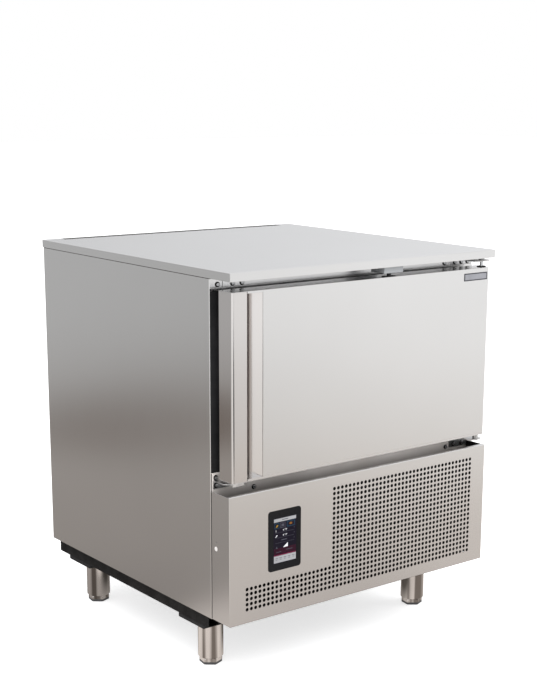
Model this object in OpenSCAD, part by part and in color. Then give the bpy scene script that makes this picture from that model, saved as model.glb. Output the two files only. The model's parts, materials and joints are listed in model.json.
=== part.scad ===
// Under-counter blast chiller: five tray levels, right-hung door, machine bay below.
// The front faces -Y, +X is to the right seen from the front, +Z is up.
// The origin is the middle of the footprint, on the floor.

/* [Overall] */
// Width of the worktop
body_w = 790; // [740:5:840]
// Depth of the worktop
body_d = 820; // [790:5:860]
// Height of the worktop's folded edge
top_t = 19; // [14:1:30]
// Floor to the underside of the leg blocks
leg_h = 107; // [95:1:150]
// Height of the chassis rails
chassis_h = 39; // [30:1:60]
// Height of the machine bay
bay_h = 304; // [290:1:340]
// Height of the insulated cabinet above the bay
cabinet_h = 466; // [455:1:500]

/* [Cabinet] */
// How far the side panels stand in from the worktop's sides
side_step = 0.7; // [0.5:0.1:5]
// How far the worktop reaches in front of the cabinet's face
front_overhang = 78.7; // [78.2:0.1:90]
// How far the worktop reaches behind the cabinet
rear_overhang = 4; // [2:0.5:8]
// Thickness of the cladding sheet
skin_t = 1; // [0.8:0.1:1.5]
// Width of the side panels' front flanges
stile_w = 35; // [30:1:38]
// Width of the side panels' rear flanges
rear_flange_w = 15; // [10:1:25]
// Height of the top rail
top_rail_h = 22.5; // [21:0.5:24]
// Depth of the top rail's returns
top_rail_d = 20; // [12:1:28]
// Height of the bottom rail
bottom_rail_h = 71; // [66:1:85]
// How far the bottom rail stands out from the cabinet's face
bottom_rail_step = 3.2; // [2.5:0.1:4.5]
// Thickness of the rails' sheet
rail_t = 1.2; // [1:0.1:2]
// Thickness of the rear panel
rear_t = 1.2; // [0.8:0.1:2]
// Width of one slot in the rear panel
rear_slot_w = 120; // [80:5:150]
// Height of one slot in the rear panel
rear_slot_h = 6; // [4:0.5:8]
// Rows of slots in the rear panel
rear_slot_rows = 14; // [4:1:15]

/* [Vent strip] */
// Length of the vent strip
vent_l = 690; // [500:10:700]
// Width of the vent strip
vent_w = 24; // [18:1:25]
// Spacing of the vent slots
vent_pitch = 12; // [10:1:20]
// Width of one vent slot
vent_slot_w = 7; // [4:0.5:8]
// Length of one vent slot
vent_slot_l = 16; // [10:1:18]
// Worktop's rear edge to the middle of the vent strip
vent_inset = 17; // [16:0.5:20]

/* [Chamber] */
// Inside width of the chamber
chamber_w = 660; // [650:1:670]
// Breaker frame's top edge to the chamber's ceiling
chamber_drop = 33.5; // [32:0.5:36]
// Breaker frame's lower edge to the chamber's floor
chamber_rise = 24; // [20:0.5:26]
// Radius of the liner's inner corners
liner_r = 8; // [4:1:10]
// Thickness of the liner
liner_t = 1; // [0.8:0.1:1.5]
// Width of the liner's front flange
liner_flange_w = 14; // [8:1:14]
// Thickness of the insulation behind the chamber
rear_wall_t = 55; // [45:1:56]
// Air gap between the insulation and the rear panel
rear_air_gap = 29.1; // [20:0.1:40]
// Height of the sill under the breaker frame
sill_h = 36; // [34:0.5:42]
// Thickness of the breaker frame
frame_t = 1.2; // [1:0.1:2]
// Thickness of the breaker frame's lip in the chamber's mouth
lip_t = 1.5; // [1:0.1:2]
// Depth of the breaker frame's lip
lip_d = 8; // [5:1:12]

/* [Tray racks] */
// Number of tray levels
levels = 5; // [3:1:5]
// Chamber floor to the lowest level
level_z = 25; // [20:1:30]
// Room in front of the runners
runner_gap_front = 22; // [15:1:30]
// Room between the runners and the fan plate
runner_gap_rear = 8; // [4:1:20]
// Width of a runner's ledge
ledge_w = 58; // [40:1:70]
// Height of a runner's upright leg
runner_h = 20; // [12:1:30]
// Thickness of a runner
runner_t = 1.5; // [1:0.1:2.5]
// Clear width between the upright legs of the two racks
tray_space_w = 617; // [610:1:620]
// Side of a rack post
post_w = 11; // [8:0.5:11]

/* [Evaporator] */
// Fan plate's front to the chamber's rear wall
fan_space_d = 220; // [210:1:225]
// Thickness of the fan plate
fan_plate_t = 1.5; // [1:0.1:3]
// Diameter of an evaporator fan
evap_fan_d = 194; // [160:1:200]
// Gap between a fan and its hole in the plate
evap_fan_gap = 5; // [3:0.5:6]
// Spacing of the two evaporator fans
evap_fan_pitch = 300; // [250:5:320]
// Depth of an evaporator fan
evap_fan_h = 32; // [24:1:36]
// Width of the evaporator's finned part
evap_w = 520; // [440:5:530]
// Depth of the evaporator
evap_depth = 80; // [60:1:85]
// Gap between the condensate tray and the evaporator
evap_rise = 10; // [6:1:14]
// Gap above the evaporator
evap_gap_top = 28; // [20:1:60]
// Spacing of the evaporator's fins
evap_fin_pitch = 10; // [8:1:20]
// Thickness of a fin
fin_t = 1; // [0.6:0.1:1.5]
// Rear of the evaporator to the chamber's rear wall
evap_rear_gap = 40; // [36:1:42]
// Depth of the condensate tray
tray_h = 12; // [8:1:16]
// Outside diameter of the drain spout
drain_d = 22; // [16:1:28]

/* [Door] */
// Side panel's outer face to the door's edge
door_side_gap = 9.3; // [8:0.1:12]
// How far the door reaches below the breaker frame
door_dip = 11.5; // [8:0.5:13]
// Thickness of the door
door_t = 49; // [47:0.5:50]
// Breaker frame's top edge to the top of the door
door_drop = 1; // [0.5:0.1:2]
// Thickness of the door's skins
door_skin_t = 1; // [0.8:0.1:1.5]
// Radius of the door's upright edges
door_edge_r = 6; // [4:0.5:7]
// Depth of the gasket
gasket_t = 20.2; // [16:0.1:21]
// Gap that the closed door's gasket keeps from the breaker frame
gasket_gap = 0.3; // [0.2:0.1:0.6]
// Width of the gasket
gasket_w = 22; // [18:1:24]
// Door's edge to the gasket
gasket_inset = 13; // [13:0.5:15]
// Height of the raised panel on the door's inner face
plateau_t = 8; // [4:1:12]
// Gasket to the raised panel
plateau_gap = 12; // [8:1:20]

/* [Handle] */
// Width of the handle profile
handle_w = 82; // [78:1:90]
// Width of the handle's flat bar, with its rounded edge
bar_w = 40.5; // [36:0.5:42]
// Thickness of the handle's bar
bar_t = 12; // [10:0.5:13]
// Width of the sloping side of the groove
slope_w = 34.5; // [32:0.5:36]
// Depth of the finger groove
groove_d = 36; // [33:0.5:38]
// Wall of the handle profile
handle_wall = 2; // [1.5:0.1:2.5]
// Thickness of the end caps' covers
cap_t = 1.2; // [1:0.1:2]
// How far the end caps reach into the groove
cap_plug = 3.9; // [2:0.1:8]
// Width of the badge plate
badge_w = 80; // [40:1:100]
// Height of the badge plate
badge_h = 18.5; // [10:0.5:30]
// Thickness of the badge plate
badge_t = 0.8; // [0.5:0.1:1.5]
// Door's right edge to the badge plate
badge_inset_x = 6; // [4:1:12]
// Top of the door to the badge plate
badge_inset_z = 10.5; // [6:0.5:20]

/* [Hinges] */
// Door's right edge to the hinge axis
hinge_inset_x = 10; // [9:0.5:11]
// Door's front face to the hinge axis
hinge_inset_y = 19; // [18:0.5:22]
// Diameter of a hinge pin
pin_d = 8; // [6:0.5:9]
// Length of a hinge pin inside the door
pin_l = 22; // [15:1:30]
// Running clearance of a pin in its bush, on the radius
pin_gap = 0.05; // [0.02:0.01:0.09]
// Outside diameter of a bush
bush_d = 12; // [11:0.5:14]
// Outside diameter of a bush's flange
bush_flange_d = 22; // [16:1:24]
// Thickness of a bush's flange
bush_flange_t = 1.8; // [1:0.1:2.5]
// Thickness of the hinge plates
hinge_t = 3; // [2.5:0.1:4]
// Width of the top hinge's arm
top_arm_w = 51; // [42:1:54]
// Reach of the top hinge's arm from the cabinet's face
top_arm_l = 68.7; // [62:0.5:74]
// Height of the top arm's upper face under the worktop
top_arm_drop = 6; // [4:0.5:8]
// Width of the bottom hinge's arm
bottom_arm_w = 45; // [40:1:50]
// Reach of the bottom hinge's arm from the cabinet's face
bottom_arm_l = 60; // [58:0.5:66]
// Door's underside to the bottom arm
bottom_arm_drop = 12.5; // [10:0.5:14]
// Height of the spare bracket's upright leaf
spare_h = 20; // [18:1:24]
// Reach of the spare bracket from the cabinet's face
spare_l = 57; // [45:1:60]
// Width of the spare bracket
spare_w = 46; // [38:1:50]

/* [Door switch] */
// Width of the door switch's bracket
switch_w = 58; // [50:1:70]
// Depth of the door switch's bracket
switch_d = 46; // [36:1:50]
// Height of the door switch's bracket
switch_h = 15; // [13:0.5:15.5]
// Left edge of the door switch's bracket
switch_x = 43; // [-60:1:150]
// Worktop's front edge to the bracket
switch_inset = 9.5; // [8:0.5:14]
// Length of the magnet's base on the door
magnet_l = 34; // [24:1:40]
// Diameter of the magnet
magnet_d = 10; // [8:0.5:12]

/* [Front panel] */
// Side panel's outer face to the front panel's cheek
pan_side_gap = 0.7; // [0.4:0.1:3]
// Gap between the front panel's top edge and the insulation's lower face
pan_gap_top = 4.2; // [2:0.1:10]
// Depth of the front panel
pan_d = 68.7; // [66:0.1:72]
// Thickness of the front panel's sheet
pan_t = 1.2; // [1:0.1:2]
// Depth of the hem along the panel's top edge
hem_d = 8; // [4:0.5:12]
// How far the panel hangs below the side panels
pan_drop = 0.2; // [0:0.1:2]
// Diameter of one perforation
hole_d = 6.9; // [4:0.1:8]
// Spacing of the perforations
hole_pitch = 11.86; // [11:0.01:12.5]
// Rows of perforations over the full width
hole_rows_low = 5; // [2:1:6]
// Columns left out beside the display
hole_cols_out = 21; // [20:1:30]
// Panel's left edge to the first column
hole_inset_x = 47.9; // [40:0.1:50]
// Panel's top edge to the first row
hole_inset_z = 30.3; // [24:0.1:32]
// Diameter of the plug in the left cheek
plug_d = 10.5; // [8:0.5:14]
// Plug's centre to the cheek's rear edge
plug_inset_y = 18.5; // [12:0.5:30]
// Plug's centre to the panel's top edge
plug_inset_z = 129; // [60:1:200]

/* [Display] */
// Width of the display bezel
bezel_w = 92; // [80:1:96]
// Height of the display bezel
bezel_h = 141.5; // [120:0.5:144]
// Corner radius of the bezel
bezel_r = 7; // [3:0.5:10]
// How far the bezel stands out from the panel
bezel_t = 1.6; // [1:0.1:3]
// Depth of the bezel's body behind the panel
bezel_body_d = 16; // [10:1:18]
// Panel's left edge to the bezel
bezel_inset_x = 106.6; // [100:0.1:110]
// Panel's top edge to the bezel
bezel_inset_z = 52.3; // [48:0.1:60]
// Width of the touch screen
screen_w = 65; // [50:1:70]
// Height of the touch screen
screen_h = 106.5; // [90:0.5:110]
// Top of the bezel to the touch screen
screen_inset_z = 18; // [10:0.5:24]
// Thickness of the touch screen
screen_t = 1; // [0.6:0.1:1.2]

/* [Legs] */
// Diameter of a leg
leg_d = 60; // [50:1:62]
// Wall of a leg
leg_wall = 1.5; // [1.2:0.1:3]
// Spacing of the legs from left to right
leg_pitch_x = 646; // [600:1:650]
// Middle of the front legs from the worktop's front edge
leg_inset_front = 187; // [170:1:220]
// Middle of the rear legs from the worktop's rear edge
leg_inset_rear = 112.5; // [80:0.5:140]
// Height of a foot below its leg
foot_h = 16; // [12:1:24]
// Width of a foot's hexagon across its corners
foot_hex_d = 55; // [44:1:56]
// Diameter of a foot's stem
stem_d = 20; // [14:1:24]
// Running clearance of a stem in its leg, on the radius
stem_gap = 0.05; // [0.02:0.01:0.09]
// Length of a foot's stem
stem_l = 62; // [50:1:70]
// Length of a leg block
block_l = 104; // [80:1:110]
// Width of a leg block
block_w = 88; // [84:1:92]
// Thickness of a leg block
block_t = 10; // [6:1:14]
// How far the chassis rails stand in from the side panels
rail_inset = 19.3; // [10:0.1:24]
// Width of a chassis rail
chassis_rail_w = 30; // [20:1:32]
// Wall of a chassis rail
chassis_wall = 2; // [1.5:0.1:3]

/* [Machine bay] */
// Diameter of the compressor
compressor_d = 184; // [160:1:190]
// Height of the compressor's shell
compressor_h = 215; // [180:1:220]
// Width of the condenser's finned part
cond_w = 420; // [360:5:430]
// Gap between the bay's floor and the condenser
cond_rise = 14; // [8:1:24]
// Gap above the condenser
cond_gap_top = 38; // [37:1:60]
// Depth of the condenser
cond_depth = 60; // [40:1:66]
// Spacing of the condenser's fins
cond_fin_pitch = 10; // [8:1:20]
// Diameter of the condenser fan
cond_fan_d = 230; // [200:1:234]
// Depth of the condenser fan
cond_fan_h = 36; // [30:1:40]
// Depth of the condenser's cowl
cowl_d = 30; // [20:1:40]
// Right side panel's outer face to the receiver's centre
receiver_inset = 144; // [100:1:150]
// Diameter of the liquid receiver
receiver_d = 90; // [70:1:95]
// Height of the liquid receiver
receiver_h = 190; // [150:1:195]
// Diameter of the filter drier
drier_d = 36; // [26:1:38]
// Length of the filter drier
drier_l = 110; // [90:1:120]
// Diameter of the suction pipe
suction_d = 16; // [12:1:16]
// Diameter of the liquid and discharge pipes
liquid_d = 10; // [8:1:12]
// Wall of the pipes
pipe_wall = 1; // [0.8:0.1:1.5]
// How far the control box reaches past the display at each side
control_margin = 60; // [20:5:80]
// Gap between the display and the control box
control_gap = 8; // [4:1:12]
// Thickness of the control box's sheet
control_t = 1.2; // [1:0.1:2]

/* [Screws] */
// Diameter of a screw head
head_d = 8.4; // [6:0.2:9]
// Height of a screw head
head_h = 2.6; // [1.6:0.1:3]
// Diameter of a screw's shank
shank_d = 4; // [3:0.1:5]
// Length of a screw's shank
shank_l = 9; // [6:1:12]

/* [Hidden] */
$fn = 48;

// Small overlap for cuts, and the gap between pieces that fit together
cut = 1;
fit = 0.2;

// Heights
block_z = leg_h;
chassis_z = block_z + block_t;
bay_z = chassis_z + chassis_h;
foam_z = bay_z + bay_h;
top_z = foam_z + cabinet_h;
overall_h = top_z + top_t;
frame_z1 = top_z - top_rail_h;
frame_z0 = foam_z + sill_h;
chamber_z1 = frame_z1 - chamber_drop;
chamber_z0 = frame_z0 + chamber_rise;
level_pitch = (chamber_z1 - chamber_z0 - level_z) / levels;
door_z1 = frame_z1 - door_drop;
door_z0 = frame_z0 - door_dip;
pan_z0 = bay_z - pan_drop;
pan_z1 = foam_z - pan_gap_top;

// Places from front to back
top_front_y = -body_d / 2;
top_rear_y = body_d / 2;
face_y = top_front_y + front_overhang;
shell_rear_y = top_rear_y - rear_overhang;
rear_panel_y = shell_rear_y - skin_t - rear_t;
foam_y0 = face_y + skin_t + fit;
foam_y1 = rear_panel_y - rear_air_gap;
chamber_y1 = foam_y1 - rear_wall_t - liner_t;
frame_y = face_y - frame_t;
door_y1 = frame_y - gasket_gap - gasket_t;
door_y0 = door_y1 - door_t;
rail_y = face_y - bottom_rail_step;
pan_y1 = face_y - fit;
pan_y0 = pan_y1 - pan_d;

// Places from side to side
side_x = body_w / 2 - side_step;
inner_x = side_x - skin_t;
chamber_x = chamber_w / 2;
door_x = side_x - door_side_gap;
pan_x = side_x - pan_side_gap;
handle_x1 = -door_x + handle_w;

// Hinge axis
hinge_x = door_x - hinge_inset_x;
hinge_y = door_y0 + hinge_inset_y;
top_arm_z1 = top_z - top_arm_drop;
top_arm_z0 = top_arm_z1 - hinge_t;
bottom_arm_z1 = door_z0 - bottom_arm_drop;
bottom_arm_z0 = bottom_arm_z1 - hinge_t;
arm_x1 = side_x - 3.3;

// Sheet under the door's spare bracket
spare_z1 = frame_z0 - 16;
spare_x0 = -side_x + 3.8;
spare_chamfer = 16;
spare_lip = 7;
spare_t = 2;

// Screws in the front frame: each is [x, y of the face under its head, z]
top_screw_z = top_z - 14.5;
low_screw_z = frame_z0 - 49;
hinge_face_y = face_y - hinge_t;
low_hinge_face_y = rail_y - hinge_t;
hinge_screw_z = bottom_arm_z0 - 17;
FRAME_SCREWS = [
    [-side_x + 21.5, face_y, top_screw_z],
    [-side_x + 61.5, face_y, top_screw_z],
    [-side_x + 86.3, face_y, top_screw_z],
    [side_x - 94.3, face_y, top_screw_z],
    [side_x - 61.9, hinge_face_y, top_screw_z],
    [side_x - 40.3, hinge_face_y, top_screw_z],
    [side_x - 19, hinge_face_y, top_screw_z],
    [-side_x + 115.6, rail_y, low_screw_z],
    [side_x - 74.8, rail_y, low_screw_z],
    [-side_x + 11.3, rail_y, spare_z1 + 5.4],
    [spare_x0 + 7.5, rail_y - spare_t, spare_z1 - spare_h / 2 - 1.5],
    [side_x - 50, low_hinge_face_y, hinge_screw_z],
    [side_x - 22, low_hinge_face_y, hinge_screw_z]
];

// Evaporator group
fan_plate_y = chamber_y1 - fan_space_d;
fan_z = (chamber_z0 + chamber_z1) / 2;
evap_fan_hole_d = evap_fan_d + 2 * evap_fan_gap;
evap_fan_y = fan_plate_y + fan_plate_t + 3 + evap_fan_h;
evap_y1 = chamber_y1 - evap_rear_gap;
evap_y0 = evap_y1 - evap_depth;
evap_z0 = chamber_z0 + tray_h + evap_rise;
evap_h = chamber_z1 - evap_gap_top - evap_z0;
evap_rows = 6;
hub_d = 76;
shaft_d = 8;
shaft_gap = 0.05;
blade_t = 2;
motor_d = 70;
evap_motor_l = 30;
cond_motor_l = 60;
guard_wire = 3;
guard_d = evap_fan_hole_d - 4;
guard_rings = 5;

// Machine bay group
floor_t = 2;
floor_z = bay_z + floor_t;
cond_x1 = side_x - 50;
cond_x0 = cond_x1 - cond_w;
cond_y0 = face_y + 8;
cond_y1 = cond_y0 + cond_depth;
cond_z0 = floor_z + cond_rise;
cond_h = foam_z - cond_gap_top - cond_z0;
cond_rows = 6;
cond_fan_x = (cond_x0 + cond_x1) / 2;
cond_fan_z = cond_z0 + cond_h / 2;
cowl_t = 1.5;
cond_fan_y = cond_y1 + cowl_d + cond_fan_h - 8;
end_plate_t = 1.5;
bend_reach = 12;
compressor_x = -100;
compressor_y = 130;
mount_h = 20;
mount_d = 30;
mount_pin_d = 10;
compressor_foot = 150;
compressor_plate_t = 4;
compressor_z = floor_z + mount_h;
receiver_x = side_x - receiver_inset;
receiver_y = 40;
drier_z = floor_z + receiver_h + 42;
drier_y0 = receiver_y + 100;
riser_y = chamber_y1 - 16;
valve_z = chamber_z0 + 60;
suction_x = evap_w / 2 + 40;
suction_y = (evap_y0 + evap_y1) / 2;
suction_z = evap_z0 + evap_h * 5 / evap_rows;
suction_low_z = foam_z - 26;
pipe_lane_x = side_x - 22;
discharge_z = cond_z0 + cond_h * 4 / cond_rows;
liquid_z = cond_z0 + cond_h / cond_rows;
bend_r = 20;
inlet_x = side_x - 64;
inlet_z = floor_z + 42;
inlet_d = 20;
drain_y = (evap_y0 + evap_y1) / 2;
drain_end_z = foam_z - 20;

// ---------- shared shapes ----------

// Box between two corners
module box(lo, hi) {
    translate(lo)
        cube(hi - lo);
}

// Flat shape in X and Z, given thickness from y0 to y1
module facing(y0, y1) {
    translate([0, y1, 0])
        rotate([90, 0, 0])
            linear_extrude(y1 - y0)
                children();
}

// Flat shape in Y and Z, given thickness from x0 to x1
module sideways(x0, x1) {
    translate([x0, 0, 0])
        rotate([90, 0, 90])
            linear_extrude(x1 - x0)
                children();
}

// Flat shape in X and Y, given thickness from z0 to z1
module upright(z0, z1) {
    translate([0, 0, z0])
        linear_extrude(z1 - z0)
            children();
}

// Rectangle between two corners
module rect(lo, hi) {
    translate(lo)
        square(hi - lo);
}

// Rectangle with round corners
module round_rect(lo, hi, r) {
    rect(lo + [r, 0], hi - [r, 0]);
    rect(lo + [0, r], hi - [0, r]);
    for (x = [lo[0] + r, hi[0] - r], y = [lo[1] + r, hi[1] - r])
        translate([x, y])
            circle(r);
}

// The corner that rounding takes away from a square corner at the origin; the sheet lies at +X +Y
module corner_waste(r) {
    difference() {
        translate([-cut, -cut])
            square(r + cut);
        translate([r, r])
            circle(r);
    }
}

// Turns a shape built along +Z so that it points along -Y from a point
module to_front(p) {
    translate(p)
        rotate([90, 0, 0])
            children();
}

// Screw with a domed head and a cross recess, its head pointing along +Z
module screw() {
    recess_w = head_d / 6;
    recess_l = head_d * 0.6;
    difference() {
        union() {
            cylinder(h = head_h / 2, d = head_d);
            translate([0, 0, head_h / 2])
                cylinder(h = head_h / 2, d1 = head_d, d2 = head_d * 0.7);
            translate([0, 0, -shank_l])
                cylinder(h = shank_l + head_h / 4, d = shank_d);
        }
        for (a = [0, 90])
            rotate(a)
                translate([-recess_l / 2, -recess_w / 2, head_h / 2])
                    cube([recess_l, recess_w, head_h]);
    }
}

// Clearance holes for the screws of the front frame
module frame_screw_bores() {
    for (p = FRAME_SCREWS)
        to_front(p + [0, shank_l + cut, 0])
            cylinder(h = shank_l + 3 * cut, d = shank_d + fit);
}

// Straight length of tube from p along direction d
module tube_run(p, d, l, od, wall) {
    side = abs(d[2]) > 0.5 ? [1, 0, 0] : [0, 0, 1];
    other = cross(d, side);
    multmatrix([
        [side[0], other[0], d[0], p[0]],
        [side[1], other[1], d[1], p[1]],
        [side[2], other[2], d[2], p[2]]
    ])
        linear_extrude(l)
            difference() {
                circle(d = od);
                circle(d = od - 2 * wall);
            }
}

// Quarter bend of a tube about the corner p, from direction a to direction b
module tube_bend(p, a, b, od, wall) {
    c = p + (b - a) * bend_r;
    n = cross(a, b);
    multmatrix([
        [-b[0], a[0], n[0], c[0]],
        [-b[1], a[1], n[1], c[1]],
        [-b[2], a[2], n[2], c[2]]
    ])
        rotate_extrude(angle = 90)
            translate([bend_r, 0])
                difference() {
                    circle(d = od);
                    circle(d = od - 2 * wall);
                }
}

// Unit direction from one point to the next
function heading(a, b) = (b - a) / norm(b - a);

// Tube through square corners, bent to one radius
module pipe(pts, od) {
    last = len(pts) - 1;
    for (i = [0:last - 1]) {
        d = heading(pts[i], pts[i + 1]);
        start = i == 0 ? 0 : bend_r;
        end = i == last - 1 ? 0 : bend_r;
        tube_run(pts[i] + d * start, d, norm(pts[i + 1] - pts[i]) - start - end, od, pipe_wall);
        if (i > 0)
            tube_bend(pts[i], heading(pts[i - 1], pts[i]), d, od, pipe_wall);
    }
}

// Upright vessel with rounded ends, standing on z0
module vessel(d, h, r) {
    rotate_extrude() {
        rect([0, 0], [d / 2 - r, h]);
        rect([0, r], [d / 2, h - r]);
        for (z = [r, h - r])
            translate([d / 2 - r, z])
                circle(r);
    }
}

// Fan rotor with its axis along +Z from its rear face
module fan_rotor(d, h, blades) {
    chord = h * 1.7;
    pitch_deg = 34;
    difference() {
        union() {
            cylinder(h = h, d = hub_d);
            intersection() {
                cylinder(h = h, d = d);
                for (k = [0:blades - 1])
                    rotate(k * 360 / blades)
                        translate([hub_d / 2 - 3, 0, h / 2])
                            rotate([pitch_deg, 0, 0])
                                translate([0, -chord / 2, -blade_t / 2])
                                    cube([d / 2, chord, blade_t]);
            }
        }
        translate([0, 0, -cut])
            cylinder(h = h * 0.7 + cut, d = shaft_d + 2 * shaft_gap);
    }
}

// Fan motor behind a rotor, its shaft along +Z; the arms reach the plate at height reach
module fan_motor(l, arm_r, reach, shaft_reach) {
    arm_w = 10;
    arms = 3;
    translate([0, 0, -l])
        cylinder(h = l, d = motor_d);
    cylinder(h = shaft_reach, d = shaft_d);
    for (k = [0:arms - 1])
        rotate(90 + k * 360 / arms) {
            translate([motor_d / 2 - 5, -arm_w / 2, -l + 4])
                cube([arm_r - motor_d / 2 + 5, arm_w, 4]);
            translate([arm_r - 4, -arm_w / 2, -l + 4])
                cube([4, arm_w, reach + l - 4]);
        }
}

// Finned coil: fins across X, extruded upwards, with end plates and return bends
module finned_coil(x0, x1, y0, y1, z0, z1, pitch, rows, columns) {
    fins = floor((x1 - x0 - fin_t) / pitch);
    first = (x0 + x1 - fins * pitch) / 2;
    tube_t = 4;
    bend_tube = 8;
    upright(z0, z1) {
        for (i = [0:fins])
            rect([first + i * pitch - fin_t / 2, y0], [first + i * pitch + fin_t / 2, y1]);
        for (c = [1:columns])
            translate([0, y0 + (c - 0.5) * (y1 - y0) / columns])
                rect([x0, -tube_t / 2], [x1, tube_t / 2]);
    }
    for (x = [x0 - end_plate_t, x1])
        box([x, y0, z0], [x + end_plate_t, y1, z1]);
    // return bends between the columns, at each row
    for (s = [-1, 1], r = [1:rows]) {
        x = s < 0 ? x0 - end_plate_t : x1 + end_plate_t;
        step = (y1 - y0) / columns;
        translate([x, y0 + step, z0 + (r - 0.5) * (z1 - z0) / rows])
            rotate([0, 0, s < 0 ? 90 : -90])
                rotate_extrude(angle = 180)
                    translate([step / 2, 0])
                        circle(d = bend_tube);
    }
}

// ---------- cabinet ----------

module worktop() {
    color("#d0d2d5")
        difference() {
            box([-body_w / 2, top_front_y, top_z], [body_w / 2, top_rear_y, overall_h]);
            box([-body_w / 2 + skin_t, top_front_y + skin_t, top_z + skin_t],
                [body_w / 2 - skin_t, top_rear_y - skin_t, overall_h - skin_t]);
            box([-body_w / 2 + rear_flange_w, top_front_y + rear_flange_w, top_z - cut],
                [body_w / 2 - rear_flange_w, top_rear_y - rear_flange_w, top_z + top_t / 2]);
            vent_opening(fit);
        }
}

// Space that the vent strip passes through
module vent_opening(gap) {
    box([-vent_l / 2 - gap, top_rear_y - vent_inset - vent_w / 2 - gap, top_z - cut],
        [vent_l / 2 + gap, top_rear_y - vent_inset + vent_w / 2 + gap, overall_h + cut]);
}

module worktop_core() {
    edge = skin_t + fit;
    color("#c8a878")
        difference() {
            box([-body_w / 2 + edge, top_front_y + edge, top_z + edge],
                [body_w / 2 - edge, top_rear_y - edge, overall_h - skin_t]);
            vent_opening(fit);
        }
}

module rear_vent_strip() {
    slots = floor((vent_l - vent_slot_w) / vent_pitch);
    y = top_rear_y - vent_inset;
    strip_z = overall_h - 2;
    color("#1e1e1f") {
        upright(strip_z - 3, strip_z)
            difference() {
                rect([-vent_l / 2, y - vent_w / 2], [vent_l / 2, y + vent_w / 2]);
                for (i = [-slots / 2:slots / 2])
                    translate([i * vent_pitch, y])
                        rect([-vent_slot_w / 2, -vent_slot_l / 2], [vent_slot_w / 2, vent_slot_l / 2]);
            }
        upright(top_z + skin_t, strip_z - 3)
            difference() {
                rect([-vent_l / 2, y - vent_w / 2], [vent_l / 2, y + vent_w / 2]);
                rect([-vent_l / 2 + 2, y - vent_w / 2 + 2], [vent_l / 2 - 2, y + vent_w / 2 - 2]);
            }
    }
}

// Cladding sheet with its front and rear flanges; side is -1 for the left and 1 for the right
module side_panel(side) {
    color("#b4b2ae")
        difference() {
            mirror([side < 0 ? 1 : 0, 0, 0])
                upright(bay_z, top_z) {
                    rect([inner_x, face_y], [side_x, shell_rear_y]);
                    rect([side_x - stile_w, face_y], [side_x, face_y + skin_t]);
                    rect([side_x - rear_flange_w, shell_rear_y - skin_t], [side_x, shell_rear_y]);
                }
            frame_screw_bores();
        }
}

module side_panel_left() side_panel(-1);

module side_panel_right() side_panel(1);

module rear_panel() {
    slot_step = (bay_h - 60) / rear_slot_rows;
    color("#a9abad")
        facing(rear_panel_y, rear_panel_y + rear_t)
            difference() {
                rect([-inner_x + fit, bay_z], [inner_x - fit, top_z]);
                for (row = [0:rear_slot_rows - 1], col = [-1:1])
                    translate([col * (rear_slot_w + 40) - 40, bay_z + 40 + row * slot_step])
                        square([rear_slot_w, rear_slot_h], center = true);
                translate([inlet_x, inlet_z])
                    circle(d = inlet_d + fit);
            }
}

// Space inside the liner's outer faces, from the front to depth y
module chamber_space(grow, y) {
    facing(face_y - cut, y)
        round_rect([-chamber_x - grow, chamber_z0 - grow], [chamber_x + grow, chamber_z1 + grow],
            liner_r + grow);
}

module cabinet_insulation() {
    grow = liner_t + fit / 2;
    color("#e6dcb0")
        difference() {
            box([-inner_x + fit, foam_y0, foam_z], [inner_x - fit, foam_y1, top_z - fit]);
            chamber_space(grow, chamber_y1 + grow);
            // room for the top rail
            box([-side_x + stile_w - fit, foam_y0 - cut, frame_z1 - fit],
                [side_x - stile_w + fit, face_y + top_rail_d + fit, top_z]);
            floor_passages(4);
            frame_screw_bores();
        }
}

// Holes for the drain and the pipes through the chamber's floor
module floor_passages(gap) {
    translate([0, drain_y, foam_z - cut])
        cylinder(h = chamber_z0 - foam_z + 2 * cut, d = drain_d + gap);
    translate([receiver_x, riser_y, foam_z - cut])
        cylinder(h = chamber_z0 - foam_z + 2 * cut, d = liquid_d + gap);
    translate([suction_x, suction_y, foam_z - cut])
        cylinder(h = chamber_z0 - foam_z + 2 * cut, d = suction_d + gap);
}

module chamber_liner() {
    color("#c9cbcc")
        difference() {
            union() {
                facing(face_y, chamber_y1 + liner_t)
                    round_rect([-chamber_x - liner_t, chamber_z0 - liner_t],
                        [chamber_x + liner_t, chamber_z1 + liner_t], liner_r + liner_t);
                facing(face_y, face_y + liner_t)
                    rect([-chamber_x - liner_flange_w, chamber_z0 - liner_flange_w],
                        [chamber_x + liner_flange_w, chamber_z1 + liner_flange_w]);
            }
            chamber_space(0, chamber_y1);
            floor_passages(fit);
        }
}

module top_rail() {
    x = side_x - stile_w - fit;
    color("#c4c4c3")
        difference() {
            sideways(-x, x)
                difference() {
                    rect([face_y, frame_z1], [face_y + top_rail_d, top_z]);
                    rect([face_y + rail_t, frame_z1 + rail_t], [face_y + top_rail_d + cut, top_z - rail_t]);
                }
            frame_screw_bores();
        }
}

module bottom_rail() {
    x = inner_x - 1.8;
    return_d = 30;
    rail_z0 = frame_z0 - bottom_rail_h;
    color("#a8a5a2")
        difference() {
            union() {
                sideways(-x, x) {
                    rect([rail_y, rail_z0], [rail_y + rail_t, frame_z0]);
                    rect([rail_y, frame_z0 - rail_t], [face_y, frame_z0]);
                }
                sideways(-side_x + stile_w + fit, side_x - stile_w - fit)
                    rect([rail_y, rail_z0], [rail_y + return_d, rail_z0 + rail_t]);
            }
            frame_screw_bores();
        }
}

module breaker_frame() {
    x = side_x - 1.3;
    color("#1d1e1f") {
        facing(frame_y, face_y)
            difference() {
                rect([-x, frame_z0], [x, frame_z1]);
                mouth(lip_t);
            }
        facing(face_y, face_y + lip_d)
            difference() {
                mouth(0);
                mouth(lip_t);
            }
    }
}

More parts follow.
